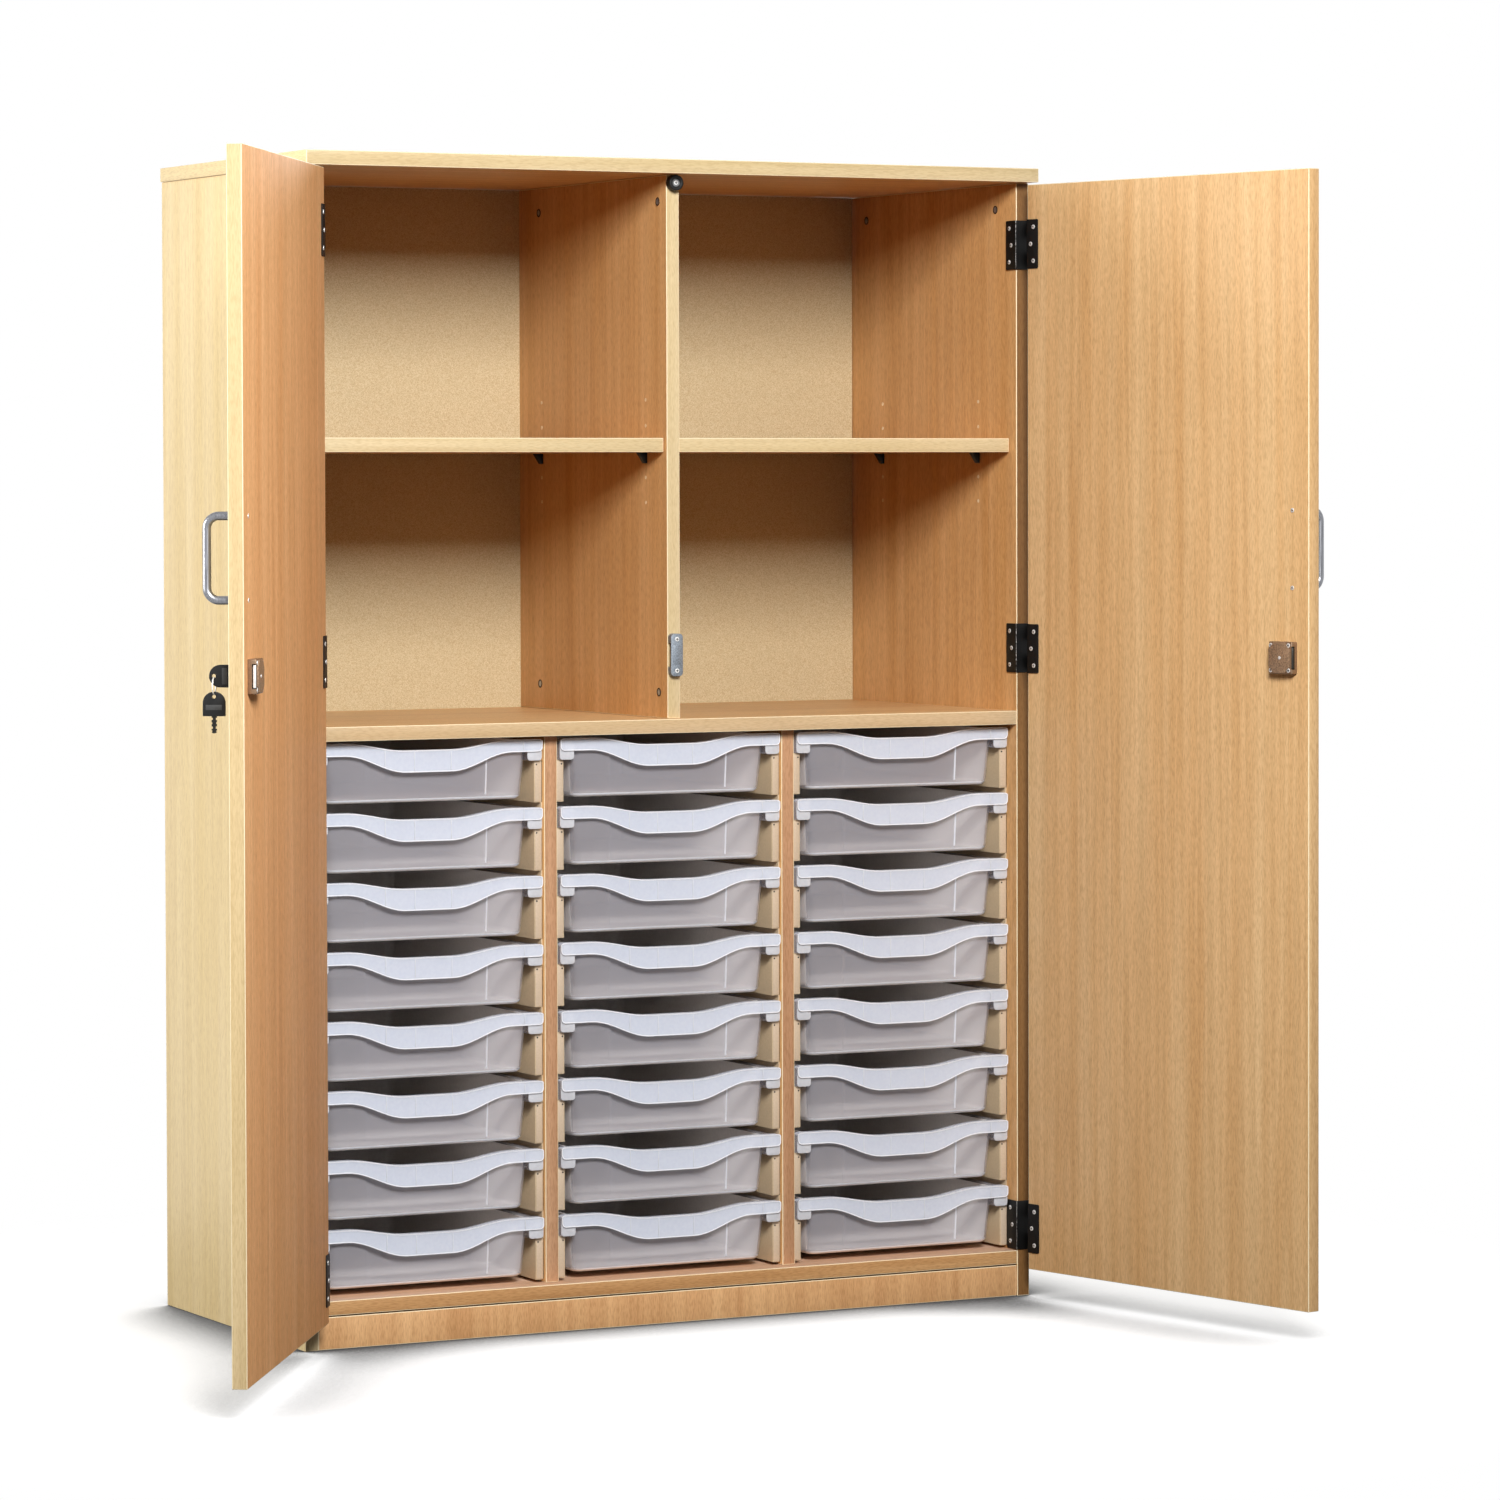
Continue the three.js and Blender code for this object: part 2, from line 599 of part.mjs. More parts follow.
// A square case on the inner face with its barrel through the door
function lockCaseGeometry() {
  const half = LOCK_SIZE / 2;
  const seat = doorInner + SEAT;
  const barrelFace = doorOuter - BARREL_PROUD;
  const body = join(
    box(lockU - half, lockEnd, seat, doorInner + LOCK_DEPTH, lockZ - half, lockZ + half),
    cylinderY(BARREL_RADIUS, lockU, lockZ, barrelFace, seat + BOLT_CLEARANCE),
  );
  const slot = BOLT_HEIGHT / 2 + BOLT_CLEARANCE;
  return cut(
    body,
    box(
      boltTail - BOLT_CLEARANCE, lockEnd + BOLT_PROUD, boltNear - BOLT_CLEARANCE,
      boltFar + BOLT_CLEARANCE, lockZ - slot, lockZ + slot,
    ),
    cylinderY(
      PLUG_RADIUS + BOLT_CLEARANCE, lockU, lockZ, barrelFace - SEAT, barrelFace + PLUG_DEPTH + SEAT,
    ),
  );
}

// A key's bow: square at the blade, round at the far end, with a hole for the ring
function bowOutline() {
  const radius = BOW_WIDTH / 2;
  const centre = BOW_LENGTH - radius;
  const points = [[0, -radius]];
  for (let i = 0; i <= BOW_STEPS; i += 1) {
    const angle = -Math.PI / 2 + (i / BOW_STEPS) * Math.PI;
    points.push([centre + radius * Math.cos(angle), radius * Math.sin(angle)]);
  }
  points.push([0, radius]);
  return points;
}

function drilledBow() {
  const half = BOW_THICKNESS / 2;
  const hole = new THREE.CylinderGeometry(
    BOW_HOLE_RADIUS, BOW_HOLE_RADIUS, BOW_THICKNESS + 2 * SEAT, ROUND_SIDES,
  );
  hole.rotateZ(Math.PI / 2).translate(0, BOW_LENGTH - BOW_HOLE_FROM_END, 0);
  return cut(sweepX(bowOutline(), -half, half), hole);
}

const bowFoot = doorOuter - BARREL_PROUD - BOW_OFF_BARREL;

// The key stands in the lock: its bow points straight out of the door
function keyGeometry() {
  const bow = drilledBow().rotateZ(Math.PI).translate(lockU, bowFoot, lockZ);
  const plugEnd = doorOuter - BARREL_PROUD + PLUG_DEPTH;
  return join(bow, cylinderY(PLUG_RADIUS, lockU, lockZ, bowFoot - SEAT, plugEnd));
}

// The spare hangs by its ring from the hole in the first key's bow
const ringV = bowFoot - BOW_LENGTH + BOW_HOLE_FROM_END;
const ringSag = RING_RADIUS - Math.sqrt(RING_RADIUS ** 2 - (BOW_THICKNESS / 2) ** 2);
const holeFloor = BOW_HOLE_RADIUS * Math.cos(Math.PI / ROUND_SIDES);
const ringTop = lockZ - holeFloor + RING_WIRE + ringSag + SEAT;

function spareKeyGeometry() {
  const ring = new THREE.TorusGeometry(RING_RADIUS, RING_WIRE, RING_SIDES, RING_STEPS);
  ring.rotateX(Math.PI / 2).translate(lockU, ringV, ringTop - RING_RADIUS);
  const hole = ringTop - 2 * RING_RADIUS - BOW_HOLE_RADIUS + RING_BITE;
  const foot = hole - BOW_LENGTH + BOW_HOLE_FROM_END;
  const bow = drilledBow().rotateX(Math.PI / 2).translate(lockU, ringV, foot);
  const halfWide = BLADE_WIDTH / 2;
  const halfThick = BLADE_THICKNESS / 2;
  const blade = box(
    lockU - halfThick, lockU + halfThick, ringV - halfWide, ringV + halfWide,
    foot - BLADE_LENGTH, foot + SEAT,
  );
  return join(bow, blade, ring);
}

function addDoors() {
  const doors = [
    { side: 'left', x: -pinX, turn: -LEFT_DOOR_OPEN, place: (geometry) => geometry },
    { side: 'right', x: pinX, turn: RIGHT_DOOR_OPEN, place: mirrorX },
  ];
  doors.forEach(({ side, x, turn, place }) => {
    const leaf = new THREE.Group();
    leaf.position.set(x, pinY, 0);
    leaf.rotation.z = THREE.MathUtils.degToRad(turn);
    cupboard.add(leaf);
    addPart(leaf, `${side}_door`, place(doorGeometry()), BEECH);
    addPart(leaf, `${side}_handle`, place(handleGeometry()), BRUSHED_STEEL);
    addPart(leaf, `${side}_lock_case`, place(lockCaseGeometry()), LOCK_STEEL);
    addPart(leaf, `${side}_lock_bolt`, place(boltGeometry()), BRIGHT_STEEL);
    if (side === 'left') {
      addPart(leaf, 'lock_key', keyGeometry(), BLACK_PLASTIC);
      addPart(leaf, 'spare_key', spareKeyGeometry(), BLACK_PLASTIC);
    }
  });
}

// A raised plate on the upper divider's front edge, open at both sides for the two bolts
function addKeep() {
  const half = KEEP_WIDTH / 2;
  const boltFront = -HINGE_GAP + BOLT_DEPTH;
  const slotFront = boltFront - BOLT_CLEARANCE;
  const rear = UPPER_DIVIDER_SETBACK - SEAT;
  const slot = BOLT_HEIGHT / 2 + KEEP_SLOT_EXTRA;
  const tall = KEEP_HEIGHT / 2;
  const plate = box(-half, half, slotFront - KEEP_PLATE, rear, lockZ - tall, lockZ + tall);
  const way = box(-half - SEAT, half + SEAT, slotFront, rear + SEAT, lockZ - slot, lockZ + slot);
  addPart(cupboard, 'lock_keep', cut(plate, way), BRUSHED_STEEL);
}

function addBuffer() {
  const z = topUnder - BUFFER_TOP_GAP - BUFFER_RADIUS;
  const front = -HINGE_GAP + BUFFER_DOOR_GAP;
  const buffer = cylinderY(BUFFER_RADIUS, 0, z, front, UPPER_DIVIDER_SETBACK - SEAT);
  addPart(cupboard, 'door_buffer', buffer, BLACK_RUBBER);
}

addCarcass();
addUpperDivider();
addShelves();
addTrayDividers();
addRunners();
addTrays();
addHinges();
addDoors();
addKeep();
addBuffer();

export default cupboard;
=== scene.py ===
"""Looks of a two-door tray cupboard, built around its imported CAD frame."""

import json
import math
from collections import namedtuple

import bpy
from bpy.props import FloatProperty, FloatVectorProperty, PointerProperty
from mathutils import Matrix, Vector


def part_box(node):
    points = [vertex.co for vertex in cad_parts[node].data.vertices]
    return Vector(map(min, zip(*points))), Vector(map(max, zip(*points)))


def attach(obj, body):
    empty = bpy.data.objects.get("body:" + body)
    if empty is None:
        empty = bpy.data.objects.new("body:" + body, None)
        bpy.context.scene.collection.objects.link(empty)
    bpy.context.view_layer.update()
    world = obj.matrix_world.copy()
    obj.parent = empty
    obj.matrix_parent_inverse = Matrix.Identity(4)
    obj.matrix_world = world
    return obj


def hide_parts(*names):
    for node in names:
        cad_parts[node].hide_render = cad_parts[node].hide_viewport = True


bl_info = {
    "name": "Tray Cupboard",
    "version": (1, 0, 0),
    "blender": (4, 5, 0),
    "location": "View3D > Sidebar > Tray Cupboard",
    "description": "Models a lockable two-door cupboard with shelves and pull-out trays",
    "category": "Object",
}

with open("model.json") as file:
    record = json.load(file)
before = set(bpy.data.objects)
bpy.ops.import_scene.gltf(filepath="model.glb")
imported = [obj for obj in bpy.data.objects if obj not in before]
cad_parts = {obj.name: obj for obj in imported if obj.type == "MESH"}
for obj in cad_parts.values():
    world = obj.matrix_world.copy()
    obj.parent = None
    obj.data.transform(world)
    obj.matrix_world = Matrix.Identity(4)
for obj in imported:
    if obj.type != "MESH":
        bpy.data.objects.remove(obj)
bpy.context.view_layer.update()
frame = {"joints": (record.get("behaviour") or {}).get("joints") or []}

MM = 0.001
SIDES = ("left", "right")
BAYS = ("left", "middle", "right")
LEVELS = ("upper", "middle", "lower")
ROWS = range(1, 9)
RIGHT, INWARD, UP = Vector((1, 0, 0)), Vector((0, 1, 0)), Vector((0, 0, 1))
QUARTER_TURN = math.pi / 2
# Edges that turn by more than this stay sharp, on flat pieces and on bent ones
SHARP_ANGLE = math.radians(35)
CURVE_ANGLE = math.radians(40)
# How closely a face has to look in a direction, and the slack when points are compared
FACING = 0.9
NEAR = 0.2 * MM
TOUCH = 0.1 * MM


def mm(*place):
    """A place given in millimetres, as a vector in metres."""
    return Vector(place) * MM


def tint(code):
    """A web colour such as d9b27c as the linear values that shaders take."""
    shares = [int(code[i : i + 2], 16) / 255 for i in (0, 2, 4)]
    return tuple(s / 12.92 if s <= 0.04045 else ((s + 0.055) / 1.055) ** 2.4 for s in shares)


def length(name, description, size):
    """A length property whose default is in millimetres."""
    return FloatProperty(name=name, description=description, default=size * MM, unit="LENGTH", precision=4)


def colour(name, description, code):
    """A colour property whose default is a web colour."""
    return FloatVectorProperty(name=name, description=description, default=tint(code), subtype="COLOR")


class CupboardSizes(bpy.types.PropertyGroup):
    """Sizes of the visible pieces."""

    board: length("Board", "Thickness of the carcass boards and doors", 18)
    arris: length("Arris", "Rounding of the boards' edges", 0.9)
    door_width: length("Door width", "From a door's hinge edge to its free edge", 512.5)
    pin_to_edge: length("Pin to edge", "From the hinge pin to the door's hinge edge", 2.5)
    pin_to_face: length("Pin to face", "From the hinge pin to the door's outer face", 3)
    hinge_leaf: length("Hinge leaf", "Thickness of a hinge leaf", 1.5)
    hinge_leaf_width: length("Door leaf width", "Width of the leaf on the door's inner face", 22)
    knuckle: length("Knuckle", "Radius of a hinge knuckle", 3)
    handle_centres: length("Handle centres", "Between the middles of a handle's legs", 96)
    handle_bar: length("Handle bar", "Radius of the handle's round bar", 5)
    handle_projection: length("Handle projection", "From the door's face to the far side of the bar", 35)
    handle_bend: length("Handle bend", "Radius of the bends, on the bar's middle line", 14)
    handle_from_edge: length("Handle from edge", "From the door's free edge to the handle", 28.5)
    handle_rise: length("Handle height", "From the floor to the middle of the handle", 983.5)
    lock_case: length("Lock case", "Width and height of a lock case", 40)
    lock_depth: length("Lock depth", "How far a lock case stands off the door", 12)
    lock_from_edge: length("Lock from edge", "From the door's free edge to the lock case", 19.5)
    lock_rise: length("Lock height", "From the floor to the middle of the lock", 849)
    key_bow: length("Key bow", "Width of a key's bow", 26)
    tray_wall: length("Tray wall", "Thickness of the tray's plastic", 2.2)
    tray_draft: length("Tray draft", "How far each side of a tray leans in to its foot", 5.5)
    tray_corner: length("Tray corner", "Radius of the tray's upright corners", 14)
    lip_height: length("Lip height", "Height of the tray's lip at its ends", 15.7)
    lip_dip: length("Lip dip", "How far the lip's top dips in the middle", 10)
    lip_drop: length("Lip drop", "How far the lip's lower edge drops in the middle", 21.8)
    screw: length("Screw head", "Radius of the screw heads", 2.9)


class CupboardFinishes(bpy.types.PropertyGroup):
    """Colours of the finishes."""

    beech_pale: colour("Beech pale", "Pale figure of the inner boards", "e0b27c")
    beech_deep: colour("Beech deep", "Deep figure of the inner boards", "d4a166")
    # Painted light: a paler copy of the beech for the right door's inner face and edges and for the middle
    # panel's top, standing in for the light that falls on them
    door_beech_pale: colour("Door pale", "Pale figure of the right door's inner face", "e9c593")
    door_beech_deep: colour("Door deep", "Deep figure of the right door's inner face", "ddb079")
    # Painted light: a brighter, warmer copy of the beech for the left door's inner face, making up for the
    # little light that reaches it
    warm_beech_pale: colour("Warm beech pale", "Pale figure of the left door's inner face", "f4bf8a")
    warm_beech_deep: colour("Warm beech deep", "Deep figure of the left door's inner face", "e9ad75")
    # Painted light: a paler copy of the beech on the outer faces, standing in for the stronger light on them
    outer_beech_pale: colour("Outer pale", "Pale figure of the outer faces", "fce4b2")
    outer_beech_deep: colour("Outer deep", "Deep figure of the outer faces", "f3d89e")
    edging_pale: colour("Edging pale", "Pale figure of the front edging", "dcc9a4")
    edging_deep: colour("Edging deep", "Deep figure of the front edging", "c8b284")
    # Painted shade: a darker, greyer copy of the edging for the left door's edges, toning down the strong
    # light on them
    door_edging_pale: colour("Door edge pale", "Pale figure of the left door's edging", "d6bf94")
    door_edging_deep: colour("Door edge deep", "Deep figure of the left door's edging", "c6ac7b")
    # Painted shade: a darker copy of the edging for the middle panel, for the dimmer light lower down
    middle_edging_pale: colour("Middle edging pale", "Pale figure of the middle panel's edging", "d2b996")
    middle_edging_deep: colour("Middle edging deep", "Deep figure of the middle panel's edging", "c0a47a")
    # Painted shade: darker copies of the beech for the base's edge and the plinth, for the dimmer light near
    # the floor
    foot_beech_pale: colour("Foot pale", "Pale figure of the base's edge", "d0a674")
    foot_beech_deep: colour("Foot deep", "Deep figure of the base's edge", "bf9160")
    plinth_beech_pale: colour("Plinth pale", "Pale figure of the plinth", "dcb07f")
    plinth_beech_deep: colour("Plinth deep", "Deep figure of the plinth", "ca9a6a")
    # Painted sheen: a paler, pinker copy of the beech for the base's upper face, standing in for the sheen
    # on it
    base_beech_pale: colour("Base pale", "Pale figure of the base's upper face", "dbbaa5")
    base_beech_deep: colour("Base deep", "Deep figure of the base's upper face", "cfa888")
    # Painted shade: a darker, rosier copy of the edging for the tray dividers, for the dimmer light lower
    # down
    rosy_edging_pale: colour("Rosy edging pale", "Pale figure of the tray dividers' edging", "cba27f")
    rosy_edging_deep: colour("Rosy edging deep", "Deep figure of the tray dividers' edging", "b78966")
    # Painted shade: a dark brown copy of the edging for the right side's front edge, which lies in shade
    brown_edging_pale: colour("Brown edging pale", "Pale figure of the right side's edging", "916a3e")
    brown_edging_deep: colour("Brown edging deep", "Deep figure of the right side's edging", "69492a")
    # Painted highlight: the pale colour of the boards' rounded arrises stands in for the light that they
    # catch
    arris: colour("Arris", "Rounded edges of the boards", "f2e2be")
    back_pale: colour("Back pale", "Pale specks of the back panel", "cbbb98")
    back_deep: colour("Back deep", "Deep specks of the back panel", "b09b76")
    tub: colour("Tray tub", "Frosted plastic of the tubs", "dcd9e2")
    # Painted light: a whiter plastic for the tubs' inner walls and floors, standing in for the light that
    # comes through the frosted walls
    tub_inside_painted_light: colour("Tray inside", "Inner walls and floors of the tubs", "f7f2ef")
    lip: colour("Tray lip", "Frosted plastic of the lips", "e8efff")
    rib: colour("Lip ribs", "Faint upright lines on the lips", "f4f7fc")
    # Painted highlight: the bright rim colour on the lips' rounded rims, the bead and the tubs' steps and
    # foot stands in for the light they catch
    rim: colour("Tray rim", "Bright rounded rims of the lips", "e6e8ee")
    runner: colour("Runner", "Plastic of the runners", "c2ad8e")
    runner_front: colour("Runner front", "Front strips of the runners", "c6b29a")
    black: colour("Black", "Hinges and shelf supports", "0e0e0e")
    steel: colour("Steel", "Brushed handles", "8c8d92")
    zinc: colour("Zinc", "Plated lock keep", "7f8790")
    bright: colour("Bright steel", "Screws, bolts and the key ring", "e6e6e4")
    blade: colour("Key blade", "Dull steel of the key's blade", "33322f")
    bronze: colour("Bronze", "Cover plates of the lock cases", "987c62")
    rubber: colour("Rubber", "Door buffer", "0c0c0c")
    disc: colour("Buffer disc", "Washer in the middle of the buffer", "6e7072")
    # Raw board and painted light: each hole is a pale disc, lit all over like the far wall of a real hole
    hole: colour("Hole", "Raw board in the shelf-support holes", "e6cfa8")
    # Painted shade: a dark ring round each cam cover stands in for the shade in the gap around it
    gap_shade: colour("Hollow", "Dark gap round the cam covers", "3a2818")


def sizes():
    return bpy.context.scene.cupboard_sizes


def finishes():
    return bpy.context.scene.cupboard_finishes


# Finishes

WHITE = (1, 1, 1)
# Noise scale across and along the grain, its detail and its distortion
FIGURE_NOISE = (26, 0.9, 2.0, 0.5)
STREAK_NOISE = (110, 2.5, 6.0, 0.8)
FLECK_NOISE = (900, 110, 1.0, 0.0)
BRUSH_NOISE = (2200, 40, 3.0, 0.0)
BRUSH_SHADES = (0.6, 1.3)
# The noise levels that a layer's deep and pale colours start from
FIGURE_ENDS = (0.3, 0.7)
STREAK_ENDS = (0.32, 0.62)
FLECK_ENDS = (0.34, 0.56)
SPECK_ENDS = (0.35, 0.65)
STREAK_SHADE = (0.82, 0.77, 0.7)
FLECK_SHADE = (0.62, 0.53, 0.43)
FLECK_SHARE = 0.7
SPECK_DETAIL = 3.0
# Strength and depth of the bumps
WOOD_BUMP = (0.06, 0.4 * MM)
SPECK_BUMP = (0.05, 0.3 * MM)
BRUSH_BUMP = (0.12, 0.2 * MM)
# Roughness, grain contrast and shine, for the woods that differ from the plain one
PLAIN_WOOD = (0.42, 0.7, 0.3)
WOOD_LOOKS = {
    "warm_beech": (0.6, 0.7, 0.1),
    "outer_beech": (0.42, 0.45, 0.3),
    "edging": (0.38, 0.45, 0.3),
    "door_edging": (0.45, 0.45, 0.3),
    "middle_edging": (0.42, 0.45, 0.3),
    "rosy_edging": (0.38, 0.7, 0.3),
    "brown_edging": (0.45, 0.7, 0.3),
}
# A finish's settings where its own line doesn't say otherwise. Its tone is taken at its level, and its
# specks are darker and lighter than that by its spread. Its cover is the share that hides what is behind
EVEN_LOOK = dict(metallic=0.0, shine=0.5, level=1.0, spread=0.12, fineness=420, cover=1.0)
FROST = dict(roughness=0.3, spread=0.03, fineness=260)
LOOKS = {
    # Painted highlight on the boards' rounded arrises
    "arris": dict(tone="arris", roughness=0.5, shine=0.25, spread=0.03),
    "back_board": dict(
        tone="back_deep", pale_tone="back_pale", roughness=0.7, shine=0.15, spread=0.0, fineness=900
    ),
    "hole_board": dict(tone="hole", roughness=0.8),
    # Painted shade round the cam covers
    "cam_gap": dict(tone="gap_shade", roughness=0.8),
    "cam_metal": dict(tone="bright", level=0.55, roughness=0.4, metallic=0.8),
    "runner_plastic": dict(tone="runner", roughness=0.45, spread=0.05),
    "runner_front": dict(tone="runner_front", roughness=0.4, spread=0.04),
    "frosted_tub": dict(tone="tub", cover=0.29, **FROST),
    "frosted_lining": dict(tone="tub", cover=0.1, **FROST),
    "frosted_inside": dict(tone="tub_inside_painted_light", cover=0.95, **FROST),
    "frosted_lip": dict(tone="lip", cover=0.48, **FROST),
    "frosted_rib": dict(tone="rib", cover=0.48, **FROST),
    # Painted light: the ears get the bright rim colour, lifting them out of the shade they sit in
    "frosted_ear": dict(tone="rim", cover=0.6, **FROST),
    # Painted highlight on the rims, the bead, the steps and the foot
    "bright_rim": dict(tone="rim", cover=0.97, **FROST),
    # Satin black: real on the hinges; inside the carved slots of the screws, the lock cases and the keep it
    # is painted shade
    "satin_black": dict(tone="black", roughness=0.5, shine=0.2),
    # Wear and painted highlight: bright specks on the hinge's front bend
    "worn_black": dict(
        tone="black", pale_tone="bright", roughness=0.4, metallic=0.3, spread=0.0, fineness=330
    ),
    "plastic_black": dict(tone="black", roughness=0.45, shine=0.3),
    "steel_polished": dict(tone="bright", roughness=0.34, metallic=0.35),
    "dull_steel": dict(tone="blade", roughness=0.4, metallic=0.6),
    "lock_case_metal": dict(tone="bronze", level=0.8, roughness=0.35, metallic=0.5),
    "lock_bronze": dict(tone="bronze", roughness=0.4, metallic=0.3, spread=0.35, fineness=500),
    "key_band": dict(tone="black", level=6.0, roughness=0.5),
    "key_blade": dict(tone="blade", roughness=0.3, metallic=0.9),
    "zinc_plate": dict(tone="zinc", roughness=0.45, metallic=0.5, spread=0.28, fineness=700),
    "buffer_rubber": dict(tone="rubber", roughness=0.5, shine=0.3),
    "buffer_disc": dict(tone="disc", roughness=0.3),
}


def new_finish(name, roughness, metallic=0.0, shine=0.5):
    """A material with a plain shader, its node tree and the shader."""
    material = bpy.data.materials.new(name)
    material.use_nodes = True
    shader = material.node_tree.nodes["Principled BSDF"]
    shader.inputs["Roughness"].default_value = roughness
    shader.inputs["Metallic"].default_value = metallic
    shader.inputs["Specular IOR Level"].default_value = shine
    return material, material.node_tree, shader


def stretched_noise(tree, stretch, detail, distortion=0.0):
    """Noise on the piece's own coordinates, with its own scale along x, y and z."""
    place = tree.nodes.new("ShaderNodeTexCoord")
    mapping = tree.nodes.new("ShaderNodeMapping")
    mapping.inputs["Scale"].default_value = stretch
    noise = tree.nodes.new("ShaderNodeTexNoise")
    noise.inputs["Scale"].default_value = 1.0
    noise.inputs["Detail"].default_value = detail
    noise.inputs["Distortion"].default_value = distortion
    tree.links.new(place.outputs["Object"], mapping.inputs["Vector"])
    tree.links.new(mapping.outputs["Vector"], noise.inputs["Vector"])
    return noise.outputs["Fac"]


def grain_noise(tree, along, across_scale, along_scale, detail, distortion):
    """Noise drawn out along one axis."""
    stretch = [along_scale if axis == along else across_scale for axis in "xyz"]
    return stretched_noise(tree, stretch, detail, distortion)


def ramp_between(tree, factor, ends, deep, pale):
    """Colours from deep to pale while the factor goes from one end to the other."""
    ramp = tree.nodes.new("ShaderNodeValToRGB")
    for stop, end, shade in zip(ramp.color_ramp.elements, ends, (deep, pale)):
        stop.position = end
        stop.color = (*shade, 1)
    tree.links.new(factor, ramp.inputs["Fac"])
    return ramp.outputs["Color"]


def multiplied(tree, base, layer, share):
    """One colour darkened by another, as strongly as share says."""
    mix = tree.nodes.new("ShaderNodeMix")
    mix.data_type = "RGBA"
    mix.blend_type = "MULTIPLY"
    mix.inputs["Factor"].default_value = share
    tree.links.new(base, mix.inputs["A"])
    tree.links.new(layer, mix.inputs["B"])
    return mix.outputs["Result"]


def add_bump(tree, shader, factor, strength, distance):
    bump = tree.nodes.new("ShaderNodeBump")
    bump.inputs["Strength"].default_value = strength
    bump.inputs["Distance"].default_value = distance
    tree.links.new(factor, bump.inputs["Height"])
    tree.links.new(bump.outputs["Normal"], shader.inputs["Normal"])


def wood(kind, along):
    """Printed wood: broad soft figure, fine streaks and short dark flecks, all along one axis."""
    name = f"{kind}_along_{along}"
    known = bpy.data.materials.get(name)
    if known:
        return known
    roughness, contrast, shine = WOOD_LOOKS.get(kind, PLAIN_WOOD)
    material, tree, shader = new_finish(name, roughness, shine=shine)
    deep, pale = getattr(finishes(), f"{kind}_deep"), getattr(finishes(), f"{kind}_pale")
    figure = grain_noise(tree, along, *FIGURE_NOISE)
    streaks = grain_noise(tree, along, *STREAK_NOISE)
    flecks = grain_noise(tree, along, *FLECK_NOISE)
    base = ramp_between(tree, figure, FIGURE_ENDS, deep, pale)
    streaked = ramp_between(tree, streaks, STREAK_ENDS, STREAK_SHADE, WHITE)
    flecked = ramp_between(tree, flecks, FLECK_ENDS, FLECK_SHADE, WHITE)
    shade = multiplied(tree, base, streaked, contrast)
    shade = multiplied(tree, shade, flecked, FLECK_SHARE * contrast)
    tree.links.new(shade, shader.inputs["Base Color"])
    add_bump(tree, shader, streaks, *WOOD_BUMP)
    return material


def shaded(shade, share):
    """A colour made darker or lighter by a share."""
    return tuple(min(1.0, channel * share) for channel in shade)


def finish(name):
    """A moulded, coated or frosted finish broken up by fine specks."""
    known = bpy.data.materials.get(name)
    if known:
        return known
    look = {**EVEN_LOOK, **LOOKS[name]}
    material, tree, shader = new_finish(name, look["roughness"], look["metallic"], look["shine"])
    shader.inputs["Alpha"].default_value = look["cover"]
    deep = getattr(finishes(), look["tone"])
    pale = getattr(finishes(), look.get("pale_tone", look["tone"]))
    deep = shaded(deep, look["level"] * (1 - look["spread"]))
    pale = shaded(pale, look["level"] * (1 + look["spread"]))
    specks = stretched_noise(tree, [look["fineness"]] * 3, SPECK_DETAIL)
    tree.links.new(ramp_between(tree, specks, SPECK_ENDS, deep, pale), shader.inputs["Base Color"])
    add_bump(tree, shader, specks, *SPECK_BUMP)
    return material


def brushed_steel():
    """Steel brushed along z."""
    material, tree, shader = new_finish("steel_brushed_along_z", roughness=0.34, metallic=1.0)
    lines = grain_noise(tree, "z", *BRUSH_NOISE)
    deep, pale = [shaded(finishes().steel, share) for share in BRUSH_SHADES]
    tree.links.new(ramp_between(tree, lines, SPECK_ENDS, deep, pale), shader.inputs["Base Color"])
    add_bump(tree, shader, lines, *BRUSH_BUMP)
    return material


# Working in object and edit mode


def only(piece):
    """Leaves one piece selected and active."""
    bpy.ops.object.select_all(action="DESELECT")
    piece.select_set(True)
    bpy.context.view_layer.objects.active = piece
    return piece


def named(name):
    """Names the piece at hand."""
    piece = bpy.context.object
    piece.name = name
    piece.data.name = name
    return piece


def applied(piece):
    """Puts a piece's place, turn and size into its mesh."""
    only(piece)
    bpy.ops.object.transform_apply(location=True, rotation=True, scale=True)
    return piece


def dress(piece, *materials):
    for material in materials:
        piece.data.materials.append(material)
    return piece


def start_box(name, low, high, *materials):
    """A block between two corners, to be shaped further."""
    low, high = Vector(low), Vector(high)
    bpy.ops.object.select_all(action="DESELECT")
    bpy.ops.mesh.primitive_cube_add(size=1, location=(low + high) / 2, scale=high - low)
    return dress(applied(named(name)), *materials)


def start_round(name, radius, foot, top, *materials, around=24):
    """A round bar from one point to another, to be shaped further."""
    foot, top = Vector(foot), Vector(top)
    bpy.ops.object.select_all(action="DESELECT")
    bpy.ops.mesh.primitive_cylinder_add(vertices=around, radius=radius, depth=(top - foot).length)
    piece = turned(named(name), (foot + top) / 2, top - foot)
    return dress(piece, *materials)


def turned(piece, place, along):
    """Takes a piece from the origin to a place, with its z axis along a direction."""
    piece.matrix_world = Matrix.Translation(place) @ along.to_track_quat("Z", "Y").to_matrix().to_4x4()
    return applied(piece)


def to_edit():
    bpy.ops.object.mode_set(mode="EDIT")


def to_object():
    bpy.ops.object.mode_set(mode="OBJECT")


